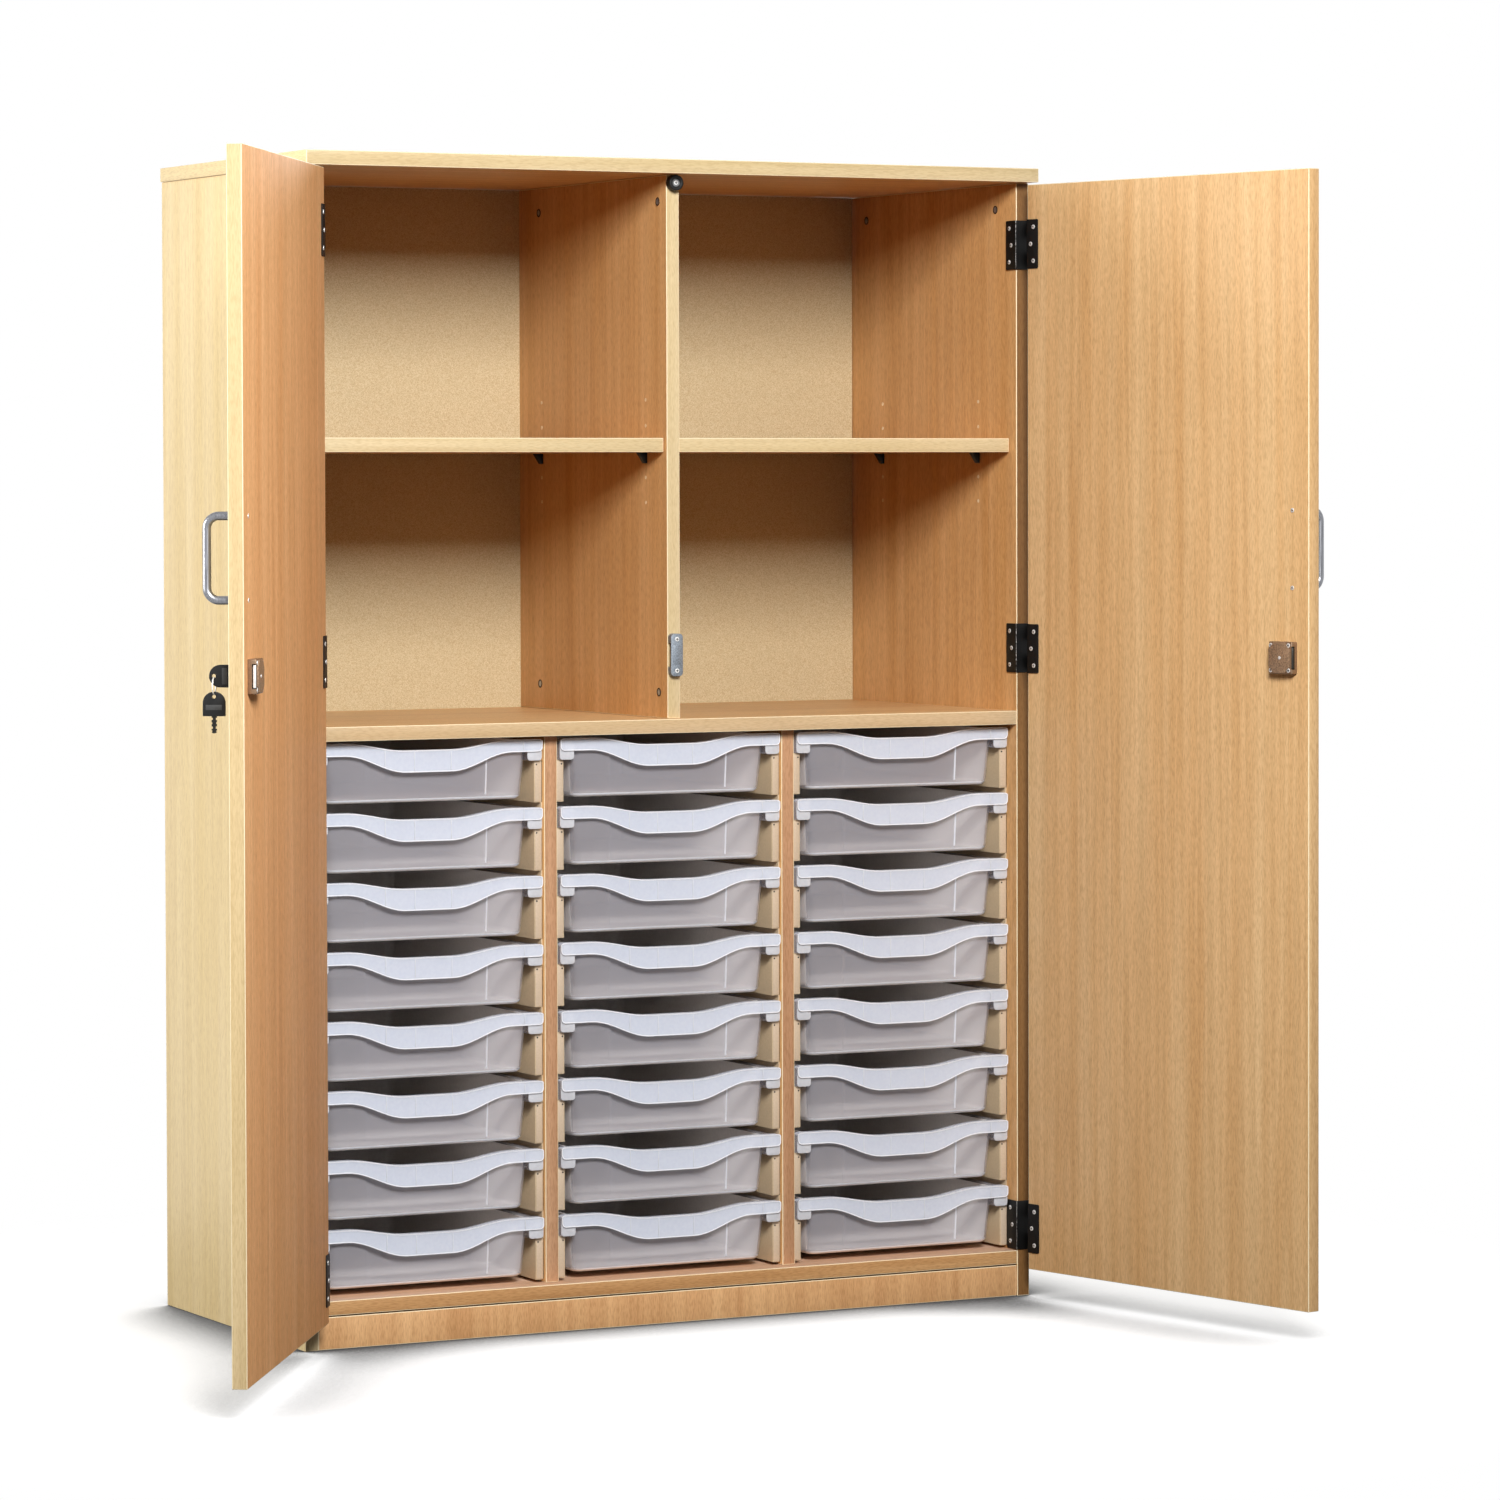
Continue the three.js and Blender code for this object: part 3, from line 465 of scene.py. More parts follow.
def pick(piece, kind, test):
    """Goes into edit mode with only the faces, edges or points that pass the test selected."""
    only(piece)
    to_edit()
    bpy.ops.mesh.select_mode(type=kind)
    bpy.ops.mesh.select_all(action="DESELECT")
    to_object()
    mesh = piece.data
    points = mesh.vertices
    if kind == "FACE":
        for face in mesh.polygons:
            face.select = test(face.center, face.normal)
    elif kind == "EDGE":
        for edge in mesh.edges:
            edge.select = test(points[edge.vertices[0]].co, points[edge.vertices[1]].co)
    else:
        for point in points:
            point.select = test(point.co)
    to_edit()


def facing(direction):
    """A test for the faces that look in a direction."""
    return lambda centre, normal: normal.dot(direction) > FACING


def edges_along(direction, side=None, end=0):
    """A test for the edges that run along a direction, at the end of the piece towards a side."""

    def test(a, b):
        at_end = side is None or min(a.dot(side), b.dot(side)) > end - MM
        return at_end and abs((a - b).dot(direction)) > MM / 2

    return test


def extrude(offset):
    bpy.ops.mesh.extrude_region_move(TRANSFORM_OT_translate={"value": tuple(offset)})


def round_where(piece, test, radius, segments, **settings):
    """Rounds the edges that pass the test."""
    pick(piece, "EDGE", test)
    bpy.ops.mesh.bevel(offset=radius, segments=segments, affect="EDGES", **settings)
    to_object()


def shift_where(piece, kind, test, offset):
    """Moves the faces, edges or points that pass the test."""
    pick(piece, kind, test)
    bpy.ops.transform.translate(value=offset)
    to_object()


def step_where(piece, test, border, offset):
    """Leaves a border inside the faces that pass the test and pushes the rest in or out."""
    pick(piece, "FACE", test)
    bpy.ops.mesh.inset(thickness=border)
    extrude(offset)
    to_object()


def open_where(piece, test):
    """Takes away the faces that pass the test."""
    pick(piece, "FACE", test)
    bpy.ops.mesh.delete(type="FACE")
    to_object()


def cut_where(piece, test, point, normal):
    """Cuts the faces that pass the test along a plane."""
    pick(piece, "FACE", test)
    bpy.ops.mesh.bisect(plane_co=point, plane_no=normal)
    to_object()


def every_face(centre, normal):
    return True


def paint_faces(piece, index, test):
    """Gives the faces that pass the test one of the piece's own finishes."""
    for face in piece.data.polygons:
        if test(face.center, face.normal):
            face.material_index = index


def apply_modifier(piece, kind, **settings):
    only(piece)
    bpy.ops.object.modifier_add(type=kind)
    modifier = piece.modifiers[-1]
    for name, value in settings.items():
        setattr(modifier, name, value)
    bpy.ops.object.modifier_apply(modifier=modifier.name)


def soften(piece, width, segments=2, index=-1):
    """Rounds the sharp edges, in their own finish if an index is given."""
    apply_modifier(
        piece,
        "BEVEL",
        width=width,
        segments=segments,
        limit_method="ANGLE",
        angle_limit=SHARP_ANGLE,
        material=index,
    )
    bpy.ops.object.shade_smooth_by_angle(angle=SHARP_ANGLE)
    return piece


def removed(piece):
    only(piece)
    bpy.ops.object.delete()


def carve(piece, tool):
    """Cuts a tool's shape out of a piece and takes the tool away."""
    apply_modifier(
        piece, "BOOLEAN", object=tool, operation="DIFFERENCE", solver="EXACT", material_mode="TRANSFER"
    )
    removed(tool)
    return piece


def face_out(piece):
    """Merges doubles and turns every face outwards."""
    only(piece)
    to_edit()
    bpy.ops.mesh.select_all(action="SELECT")
    bpy.ops.mesh.remove_doubles(threshold=0.01 * MM)
    bpy.ops.mesh.normals_make_consistent(inside=False)
    to_object()


def joined(name, pieces):
    """Several shapes as one piece."""
    only(pieces[0])
    for piece in pieces[1:]:
        piece.select_set(True)
    if len(pieces) > 1:
        bpy.ops.object.join()
    return named(name)


def copied(piece, name):
    """A copy with its own mesh."""
    only(piece)
    bpy.ops.object.duplicate()
    return named(name)


def moved(piece, offset):
    only(piece)
    bpy.ops.transform.translate(value=offset)
    return applied(piece)


def mirrored(piece):
    """The same piece on the other hand, about x = 0."""
    only(piece)
    bpy.ops.transform.resize(value=(-1, 1, 1), center_override=(0, 0, 0))
    face_out(applied(piece))
    return piece


def settle(piece, body, slot, *nodes):
    """Ties a finished piece to its CAD body and hides the nodes that it stands for. The slot is not used."""
    if not piece.data.polygons:
        raise RuntimeError(f"{piece.name} came out with no faces")
    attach(piece, body)
    if nodes:
        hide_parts(*nodes)
    return piece


# Carcass

SEAM_WIDTH = 0.8 * MM
SEAM_DROP = 8 * MM
SEAM_FACING = 0.3
PLINTH_GAP = 1.6 * MM


def board(name, low, high, along, edge, *nodes):
    """A printed board with its front edged in another wood, and a pale painted highlight on its rounded
    arrises.
    """
    piece = start_box(name, low, high, wood("beech", along), wood(edge, along), finish("arris"))
    paint_faces(piece, 1, facing(-INWARD))
    soften(piece, sizes().arris, segments=3, index=2)
    return settle(piece, "carcass", "beech", *nodes)


def face_with(piece, finish, test):
    """Gives the faces of a board that pass the test a finish of their own."""
    dress(piece, finish)
    paint_faces(piece, len(piece.data.materials) - 1, test)


def seam_across(piece, height):
    """A fine groove across the front of an upright, where two lengths of edging meet."""
    low, high = height - SEAM_WIDTH / 2, height + SEAM_WIDTH / 2
    for cut in (low, high):
        cut_where(piece, every_face, (0, 0, cut), UP)
    shift_where(
        piece,
        "FACE",
        lambda centre, normal: normal.y < -SEAM_FACING and low < centre.z < high,
        (0, SEAM_WIDTH, 0),
    )


def back_board():
    piece = start_box("back_board", *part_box("back_panel"), finish("back_board"))
    settle(soften(piece, sizes().arris), "carcass", "hardboard", "back_panel")


class CUPBOARD_OT_carcass(bpy.types.Operator):
    """Sides, top, base, middle, plinth, dividers, shelves and back"""

    bl_idname = "cupboard.carcass"
    bl_label = "Carcass"

    def execute(self, context):
        thick = sizes().board
        # The right side's front edge gets the dark brown edging: painted shade
        for side, edge, outward in (("left", "edging", -RIGHT), ("right", "brown_edging", RIGHT)):
            node = f"{side}_side_panel"
            low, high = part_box(node)
            if side == "left":
                high.x = low.x + thick
            else:
                low.x = high.x - thick
            panel = board(f"{side}_side_board", low, high, "z", edge, node)
            # Painted light: the outer face gets the paler copy of the beech
            face_with(panel, wood("outer_beech", "z"), facing(outward))
        top = board("top_board", *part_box("top_panel"), "x", "edging", "top_panel")
        # Painted light: the top's ends get the paler beech of the outer faces
        face_with(top, wood("outer_beech", "y"), lambda centre, normal: abs(normal.x) > FACING)
        for node in ("left_shelf", "right_shelf"):
            board(f"{node}_board", *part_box(node), "x", "edging", node)
        # Painted shade: the middle panel's front gets the darker copy of the edging
        middle = board("middle_panel_board", *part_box("middle_panel"), "x", "middle_edging", "middle_panel")
        # Painted light: the middle panel's top gets the paler beech, for the light from above
        face_with(middle, wood("door_beech", "x"), facing(UP))
        # Painted shade: the base's edge and the plinth get darker copies of the beech
        base = board("base_panel_board", *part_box("base_panel"), "x", "foot_beech", "base_panel")
        # Painted sheen: the base's upper face gets the paler, pinker beech
        face_with(base, wood("base_beech", "x"), facing(UP))
        low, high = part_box("plinth_board")
        high.z -= PLINTH_GAP
        board("plinth_front", low, high, "z", "plinth_beech", "plinth_board")
        # Painted shade: the tray dividers get the darker, rosier edging
        for node in ("left_tray_divider", "right_tray_divider"):
            divider = board(f"{node}_board", *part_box(node), "z", "rosy_edging", node)
            seam_across(divider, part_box("left_tray_1")[0].z - SEAM_DROP)
        low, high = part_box("upper_divider")
        low.x, high.x = -thick / 2, thick / 2
        board("upper_divider_board", low, high, "z", "edging", "upper_divider")
        back_board()
        return {"FINISHED"}


# Shelf fittings

SUPPORT_REACH = 12 * MM
SUPPORT_SLOPE = 9 * MM
SUPPORT_HEIGHT = 14 * MM
SUPPORT_HALF_WIDTH = 4.5 * MM
SUPPORT_GAP = 0.3 * MM
SUPPORT_ARRIS = 0.7 * MM
SIDE_SUPPORT_PLACES = (100 * MM, 361 * MM)
DIVIDER_SUPPORT_PLACES = (70 * MM, 378 * MM)
HOLE_RISES = (-64 * MM, -32 * MM, 34 * MM, 67 * MM)
HOLE_RADIUS = 2.4 * MM
HOLE_PROUD = 0.25 * MM
CAM_RADIUS = 5.5 * MM
CAM_PROUD = 0.6 * MM
SIDE_CAM_PLACES = (54 * MM, 406 * MM)
DIVIDER_CAM_PLACES = (34 * MM, 385 * MM)
CAM_FROM_ENDS = 33 * MM
DISC_RIM_SHARE = 0.3
DISC_MIDDLE_SHARE = 0.5
DISC_DISH_SHARE = 0.5
DISC_ARRIS = 0.08 * MM


def upright_faces():
    """The four upright faces that carry a shelf: place, outward direction, and where fittings sit."""
    thick = sizes().board
    left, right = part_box("left_side_panel")[0].x + thick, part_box("right_side_panel")[1].x - thick
    return (
        ("left_side", left, RIGHT, SIDE_SUPPORT_PLACES, SIDE_CAM_PLACES),
        ("divider_left", -thick / 2, -RIGHT, DIVIDER_SUPPORT_PLACES, DIVIDER_CAM_PLACES),
        ("divider_right", thick / 2, RIGHT, DIVIDER_SUPPORT_PLACES, DIVIDER_CAM_PLACES),
        ("right_side", right, -RIGHT, SIDE_SUPPORT_PLACES, SIDE_CAM_PLACES),
    )


def shelf_support(shelf_under):
    """A bracket at x = 0 that slopes back down to its panel."""
    low = Vector((0, -SUPPORT_HALF_WIDTH, shelf_under - SUPPORT_HEIGHT))
    high = Vector((SUPPORT_REACH, SUPPORT_HALF_WIDTH, shelf_under - SUPPORT_GAP))
    piece = start_box("shelf_support", low, high, finish("plastic_black"))
    shift_where(
        piece,
        "EDGE",
        lambda a, b: max(a.z, b.z) < low.z + MM and min(a.x, b.x) > high.x - MM,
        (-SUPPORT_SLOPE, 0, 0),
    )
    return soften(piece, SUPPORT_ARRIS)


def panel_discs(radius, seats, outward, proud, *looks):
    """Shallow dished fittings on an upright face, with their middles in the last finish named."""
    materials = [finish(look) for look in looks]
    front = facing(outward)
    middle = DISC_MIDDLE_SHARE * radius
    discs = []
    for seat in seats:
        disc = start_round("disc", radius, seat, seat + proud * outward, *materials, around=20)
        step_where(disc, front, DISC_RIM_SHARE * radius, -DISC_DISH_SHARE * proud * outward)
        paint_faces(
            disc,
            len(materials) - 1,
            lambda centre, normal: front(centre, normal) and (centre - seat).length < middle,
        )
        discs.append(soften(disc, DISC_ARRIS, segments=1))
    return discs


class CUPBOARD_OT_shelf_fittings(bpy.types.Operator):
    """Shelf supports, the holes above and below them, and cam covers"""

    bl_idname = "cupboard.shelf_fittings"
    bl_label = "Shelf fittings"

    def execute(self, context):
        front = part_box("left_side_panel")[0].y
        shelf_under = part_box("left_shelf")[0].z
        low_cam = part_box("middle_panel")[1].z + CAM_FROM_ENDS
        high_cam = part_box("top_panel")[0].z - CAM_FROM_ENDS
        pattern = shelf_support(shelf_under)
        for name, face, outward, supports, cams in upright_faces():
            for number, place in enumerate(supports, 1):
                support = copied(pattern, f"{name}_shelf_support_{number}")
                if outward.x < 0:
                    mirrored(support)
                settle(moved(support, (face, front + place, 0)), "carcass", "black_plastic")
            rises = [shelf_under + step for step in HOLE_RISES]
            seats = [Vector((face, front + place, rise)) for place in supports for rise in rises]
            # The holes are pale discs of raw board, lit all over: partly painted light
            holes = panel_discs(HOLE_RADIUS, seats, outward, HOLE_PROUD, "hole_board")
            settle(joined(f"{name}_support_holes", holes), "carcass", "black_plastic")
            rises = (low_cam, high_cam) if name.startswith("divider") else (high_cam,)
            seats = [Vector((face, front + place, rise)) for place in cams for rise in rises]
            # The cam covers' rims are painted dark: painted shade
            covers = panel_discs(CAM_RADIUS, seats, outward, CAM_PROUD, "cam_gap", "cam_metal")
            settle(joined(f"{name}_cam_covers", covers), "carcass", "bright_steel")
        removed(pattern)
        return {"FINISHED"}


# Runners

RUNNER_SPINE = 2 * MM
RUNNER_BLOCK = 52.7 * MM
RUNNER_ARRIS = 0.5 * MM
SPINE_ARRIS = 0.3 * MM
STRIP_BORDER = 1.2 * MM
STRIP_PROUD = 0.6 * MM
STOP_PIN_RADIUS = 1.1 * MM
STOP_PIN_PROUD = 0.5 * MM
STOP_PIN_ARRIS = 0.2 * MM
STOP_PIN_FROM_SIDE = 3 * MM
STOP_PIN_FROM_TOP = 5 * MM


def runner_comb(low, high, pitch):
    """A comb of runner blocks for the left face of a bay, in its CAD place."""
    body = finish("runner_plastic")
    front = facing(-INWARD)
    block = start_box(
        "block", (low.x, low.y, high.z - RUNNER_BLOCK), high, body, finish("runner_front")
    )
    step_where(block, front, STRIP_BORDER, (0, -STRIP_PROUD, 0))
    paint_faces(
        block, 1, lambda centre, normal: front(centre, normal) and centre.y < low.y - STRIP_PROUD / 2
    )
    soften(block, RUNNER_ARRIS)
    seat = Vector((high.x - STOP_PIN_FROM_SIDE, low.y - STRIP_PROUD, high.z - STOP_PIN_FROM_TOP))
    tip = seat - STOP_PIN_PROUD * INWARD
    pin = start_round("pin", STOP_PIN_RADIUS, seat, tip, finish("plastic_black"), around=10)
    block = joined("block", [block, soften(pin, STOP_PIN_ARRIS)])
    apply_modifier(
        block,
        "ARRAY",
        count=len(ROWS),
        use_relative_offset=False,
        use_constant_offset=True,
        constant_offset_displace=(0, 0, -pitch),
    )
    spine = start_box("spine", low, (low.x + RUNNER_SPINE, high.y, high.z), body)
    return joined("runner_comb", [block, soften(spine, SPINE_ARRIS)])


class CUPBOARD_OT_runners(bpy.types.Operator):
    """Runner combs at both sides of each tray bay"""

    bl_idname = "cupboard.runners"
    bl_label = "Runners"

    def execute(self, context):
        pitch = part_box("left_tray_1")[1].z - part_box("left_tray_2")[1].z
        low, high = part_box("left_bay_left_runner")
        pattern = runner_comb(low, high, pitch)
        for bay in BAYS:
            for side in SIDES:
                node = f"{bay}_bay_{side}_runner"
                place_low, place_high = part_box(node)
                comb = copied(pattern, f"{node}_comb")
                if side == "left":
                    moved(comb, (place_low.x - low.x, 0, 0))
                else:
                    moved(mirrored(comb), (place_high.x + low.x, 0, 0))
                settle(comb, "carcass", "runner", node)
        removed(pattern)
        return {"FINISHED"}


# Trays

TRAY_LIP_REACH = 6.5 * MM
TRAY_FLANGE = 16.5 * MM
TRAY_FLANGE_DEPTH = 27 * MM
TRAY_RIM_DROP = 2 * MM
TUB_FRONT_ZONE = 15 * MM
TUB_FRONT_CUTS = 23
FLANGE_LAP = 0.5 * MM
FLANGE_ARRIS = 0.6 * MM
REAR_RIM_DEPTH = 4.5 * MM
WAVE_OUTER = 114 * MM
WAVE_INNER = 31 * MM
LIP_STATIONS = 44
LIP_THICKNESS = 2.4 * MM
LIP_END_RADIUS = 5.5 * MM
LIP_ARRIS = 0.7 * MM
LIP_BEAD = 1.4 * MM
LIP_BEAD_PROUD = 0.4 * MM
FOOT_RADIUS = 7 * MM
EAR_RADIUS = 4 * MM
EAR_WIDTH = 20 * MM
EAR_THICKNESS = 1.8 * MM
EAR_LAP = 0.2 * MM
EAR_ARRIS = 0.5 * MM
GRIP_HALF = 82 * MM
GRIP_SLOPE = 1 * MM
GRIP_DEPTH = 2.5 * MM
RIB_PLACES = (-60 * MM, -20 * MM, 30 * MM, 130 * MM)
RIB_HALF_WIDTH = 0.6 * MM
RIB_FROM_EDGES = 2 * MM
RIB_PROUD = 0.25 * MM
RIB_BITE = 0.4 * MM
RIB_ARRIS = 0.2 * MM
# How far a face has to lean to count as lying flat, standing forward or being a step
FLAT_LEAN = 0.7
FORWARD_LEAN = 0.5
STEP_LEAN = 0.6
STRAIGHT_AHEAD = 0.99
BEAD_AHEAD = 0.995


def lip_wave(x):
    """How far the lip has dipped at x: 0 towards its ends, 1 in the middle."""
    share = (WAVE_OUTER - abs(x)) / (WAVE_OUTER - WAVE_INNER)
    return (1 - math.cos(math.pi * min(max(share, 0), 1))) / 2


def dip_front(tub, front, rim):
    """Lowers the tub's front rim so that it follows the lip."""
    places = sorted({round(abs(p.co.x), 5) for p in tub.data.vertices if p.co.y < front + TOUCH})
    for place in places:
        dip = sizes().lip_dip * lip_wave(place)
        if dip > 0:
            shift_where(
                tub,
                "VERT",
                lambda p: abs(abs(p.x) - place) < TOUCH / 2 and p.y < front + TOUCH and p.z > rim - MM,
                (0, 0, -dip),
            )


def sink_grip(tub):
    """Sets the middle of the tub's front back a little, with a step at each end."""
    ahead = lambda centre, normal: normal.y < -STRAIGHT_AHEAD
    for place in (-GRIP_HALF - GRIP_SLOPE, -GRIP_HALF, GRIP_HALF, GRIP_HALF + GRIP_SLOPE):
        cut_where(tub, ahead, (place, 0, 0), RIGHT)
    shift_where(
        tub,
        "FACE",
        lambda centre, normal: ahead(centre, normal) and abs(centre.x) < GRIP_HALF,
        (0, GRIP_DEPTH, 0),
    )


def paint_tub(tub, front, middle, height):
    """Inner walls and floor in a whiter, near-opaque plastic that paints the light coming through the
    frosted walls, the front's clear lining, and a painted highlight on the steps and foot.
    """
    heart = Vector((0, middle, 0))
    foot = FOOT_RADIUS / 2 - height
    zone = front + TUB_FRONT_ZONE

    def inward(centre, normal):
        return normal.dot(heart - centre) > 0

    def is_step(centre, normal):
        return abs(normal.x) > STEP_LEAN and abs(abs(centre.x) - GRIP_HALF) < 4 * GRIP_SLOPE

    # Painted light: inner walls and floors get the whiter, nearly opaque plastic
    paint_faces(tub, 1, lambda c, n: c.y > zone and abs(n.z) < FLAT_LEAN and inward(c, n))
    paint_faces(tub, 3, lambda c, n: c.y < zone and n.y > FORWARD_LEAN)
    paint_faces(tub, 1, lambda c, n: abs(n.z) > FLAT_LEAN)
    paint_faces(tub, 2, is_step)
    paint_faces(tub, 2, lambda c, n: abs(c.z - foot) < MM and n.dot(heart - c) < 0)


def tray_tub(half, depth, height):
    """An open tub with leaning walls, rounded corners and a front that dips with the lip."""
    s = sizes()
    side = half - TRAY_FLANGE
    front, back = TRAY_LIP_REACH, depth - TRAY_RIM_DROP
    middle = (front + back) / 2
    rim = -TRAY_RIM_DROP
    tub = start_box(
        "tub",
        (-side, front, -height),
        (side, back, rim),
        finish("frosted_tub"),
        finish("frosted_inside"),
        finish("bright_rim"),
        finish("frosted_lining"),
    )
    pick(tub, "FACE", facing(-UP))
    lean = (1 - s.tray_draft / side, 1 - s.tray_draft / (back - middle), 1)
    bpy.ops.transform.resize(value=lean, center_override=(0, middle, -height))
    to_object()
    round_where(tub, edges_along(UP), s.tray_corner, segments=6)
    round_where(tub, lambda a, b: max(a.z, b.z) < MM - height, FOOT_RADIUS, segments=4)
    open_where(tub, facing(UP))
    pick(tub, "EDGE", lambda a, b: max(a.y, b.y) < front + TOUCH and min(a.z, b.z) > rim - TOUCH)
    bpy.ops.mesh.subdivide(number_cuts=TUB_FRONT_CUTS)
    to_object()
    dip_front(tub, front, rim)
    sink_grip(tub)
    apply_modifier(tub, "SOLIDIFY", thickness=s.tray_wall, offset=-1, use_even_offset=True)
    bpy.ops.object.shade_smooth_by_angle(angle=CURVE_ANGLE)
    paint_tub(tub, front, middle, height)
    return tub


def draw_out_lip(lip, half, step):
    """Carries the lip's first slice on to its right end, down and up with the wave."""
    s = sizes()
    for station in range(2, LIP_STATIONS + 1):
        before, after = -half + (station - 1) * step, -half + station * step
        change = lip_wave(after) - lip_wave(before)
        pick(lip, "FACE", lambda centre, normal: normal.x > FORWARD_LEAN and centre.x > before - NEAR)
        extrude((step, 0, -s.lip_dip * change))
        to_object()
        if change:
            lowest = min(p.co.z for p in lip.data.vertices if p.co.x > after - NEAR)
            shift_where(
                lip,
                "VERT",
                lambda p: p.x > after - NEAR and p.z < lowest + MM,
                (0, 0, (s.lip_dip - s.lip_drop) * change),
            )


def tray_lip(half):
    """A wavy lip: an apron at the front and a roof back to the tub, drawn out from left to right."""
    s = sizes()
    step = 2 * half / LIP_STATIONS
    lip = start_box(
        "lip",
        (-half, 0, -s.lip_height),
        (-half + step, LIP_THICKNESS, 0),
        finish("frosted_lip"),
        finish("bright_rim"),
    )
    cut_where(lip, every_face, (0, 0, -LIP_THICKNESS), UP)
    pick(lip, "FACE", lambda centre, normal: normal.y > FACING and centre.z > -LIP_THICKNESS)
    extrude((0, TRAY_LIP_REACH + GRIP_DEPTH, 0))
    to_object()
    draw_out_lip(lip, half, step)

    def is_end_corner(a, b):
        at_end = min(abs(a.x), abs(b.x)) > half - NEAR and abs(a.y - b.y) > MM
        return at_end and (min(a.z, b.z) > -TOUCH or max(a.z, b.z) < MM - s.lip_height)

    round_where(lip, is_end_corner, LIP_END_RADIUS, segments=4)
    pick(lip, "FACE", facing(-INWARD))
    bpy.ops.mesh.inset(thickness=LIP_BEAD)
    bpy.ops.transform.translate(value=(0, LIP_BEAD_PROUD, 0))
    to_object()
    # Painted highlight: the bead's sides and the rounded rims get the bright rim colour
    paint_faces(lip, 1, lambda centre, normal: -BEAD_AHEAD < normal.y < -FORWARD_LEAN)
    return soften(lip, LIP_ARRIS, index=1)


def tray_flange(half, depth):
    """The channel along the tray's right side that rides on the runner."""
    low = (half - TRAY_FLANGE - FLANGE_LAP, LIP_THICKNESS + EAR_THICKNESS, -TRAY_FLANGE_DEPTH)
    flange = start_box("flange", low, (half, depth, -TRAY_RIM_DROP), finish("frosted_tub"))
    open_where(flange, facing(-UP))
    apply_modifier(flange, "SOLIDIFY", thickness=sizes().tray_wall, offset=-1, use_even_offset=True)
    return soften(flange, FLANGE_ARRIS)


def tray_ear(half):
    """The rounded tab that closes the flange behind the lip's right end."""
    low = (half - EAR_WIDTH, LIP_THICKNESS - EAR_LAP, -TRAY_FLANGE_DEPTH)
    high = (half, LIP_THICKNESS + EAR_THICKNESS, -TRAY_RIM_DROP)
    # Painted light: the ear is given the bright rim colour
    ear = start_box("ear", low, high, finish("frosted_ear"))
    round_where(ear, edges_along(INWARD, -UP, TRAY_FLANGE_DEPTH), EAR_RADIUS, segments=4)
    return soften(ear, EAR_ARRIS)


def lip_rib(place):
    """A faint upright line on the face of the lip."""
    s = sizes()
    wave = lip_wave(place)
    foot, top = RIB_FROM_EDGES - s.lip_height - s.lip_drop * wave, -RIB_FROM_EDGES - s.lip_dip * wave
    rib = start_box(
        "lip_rib",
        (place - RIB_HALF_WIDTH, -RIB_PROUD, foot),
        (place + RIB_HALF_WIDTH, RIB_BITE, top),
        finish("frosted_rib"),
    )
    return soften(rib, RIB_ARRIS)


def tray_rear_rim(half, depth):
    side = half - TRAY_FLANGE
    low = (-side, depth - REAR_RIM_DEPTH, -TRAY_RIM_DROP - sizes().tray_wall)
    rim = start_box("rear_rim", low, (side, depth, -TRAY_RIM_DROP), finish("frosted_tub"))
    return soften(rim, FLANGE_ARRIS)


class CUPBOARD_OT_trays(bpy.types.Operator):
    """Pull-out trays, modelled once and copied into their bays"""

    bl_idname = "cupboard.trays"
    bl_label = "Trays"

    def execute(self, context):
        low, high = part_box("left_tray_1")
        half, depth, height = (high.x - low.x) / 2, high.y - low.y, high.z - low.z
        flange, ear = tray_flange(half, depth), tray_ear(half)
        shapes = [
            tray_tub(half, depth, height),
            tray_lip(half),
            flange,
            mirrored(copied(flange, "left_flange")),
            ear,
            mirrored(copied(ear, "left_ear")),
            tray_rear_rim(half, depth),
            *[lip_rib(place) for place in RIB_PLACES],
        ]
        pattern = joined("tray", shapes)
        for bay in BAYS:
            for row in ROWS:
                node = f"{bay}_tray_{row}"
                low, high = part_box(node)
                tray = moved(copied(pattern, f"{node}_moulding"), ((low.x + high.x) / 2, low.y, high.z))
                settle(tray, node, "frosted_tray", node)
        removed(pattern)
        return {"FINISHED"}


# The flat door frame: x from the hinge pin to the free edge, y from the pin into the cupboard

DoorEdges = namedtuple("DoorEdges", "hinge free outer inner")


def door_edges():
    """The door's hinge edge, free edge, outer face and inner face in the flat door frame."""
    s = sizes()
    return DoorEdges(s.pin_to_edge, s.pin_to_edge + s.door_width, s.pin_to_face, s.pin_to_face + s.board)


def door_joint(side):
    return next(joint for joint in frame["joints"] if joint["name"] == f"{side}_door_hinge")


def hung(piece, side):
    """Takes a piece from the flat door frame to where the open door carries it."""
    if side == "right":
        mirrored(piece)
    joint = door_joint(side)
    pin = Vector((joint["pos_m"][0], joint["pos_m"][1], 0))
    opening = math.radians(-joint["axis"][2] * joint["range_deg"][0])
    piece.matrix_world = Matrix.Translation(pin) @ Matrix.Rotation(opening, 4, "Z")
    return applied(piece)


def fitted(piece, side, slot, *nodes):
    """Hangs a finished piece on a door and ties it to that door."""
    settle(hung(piece, side), f"{side}_door", slot, *nodes)


# Doors

EDGE_COVER = 1.3 * MM
# The woods of each door's inner face and of its edges: lighter and darker copies of the beech and edging,
# which paint the light that falls on each door
DOOR_WOODS = {"left": ("warm_beech", "door_edging"), "right": ("door_beech", "door_beech")}


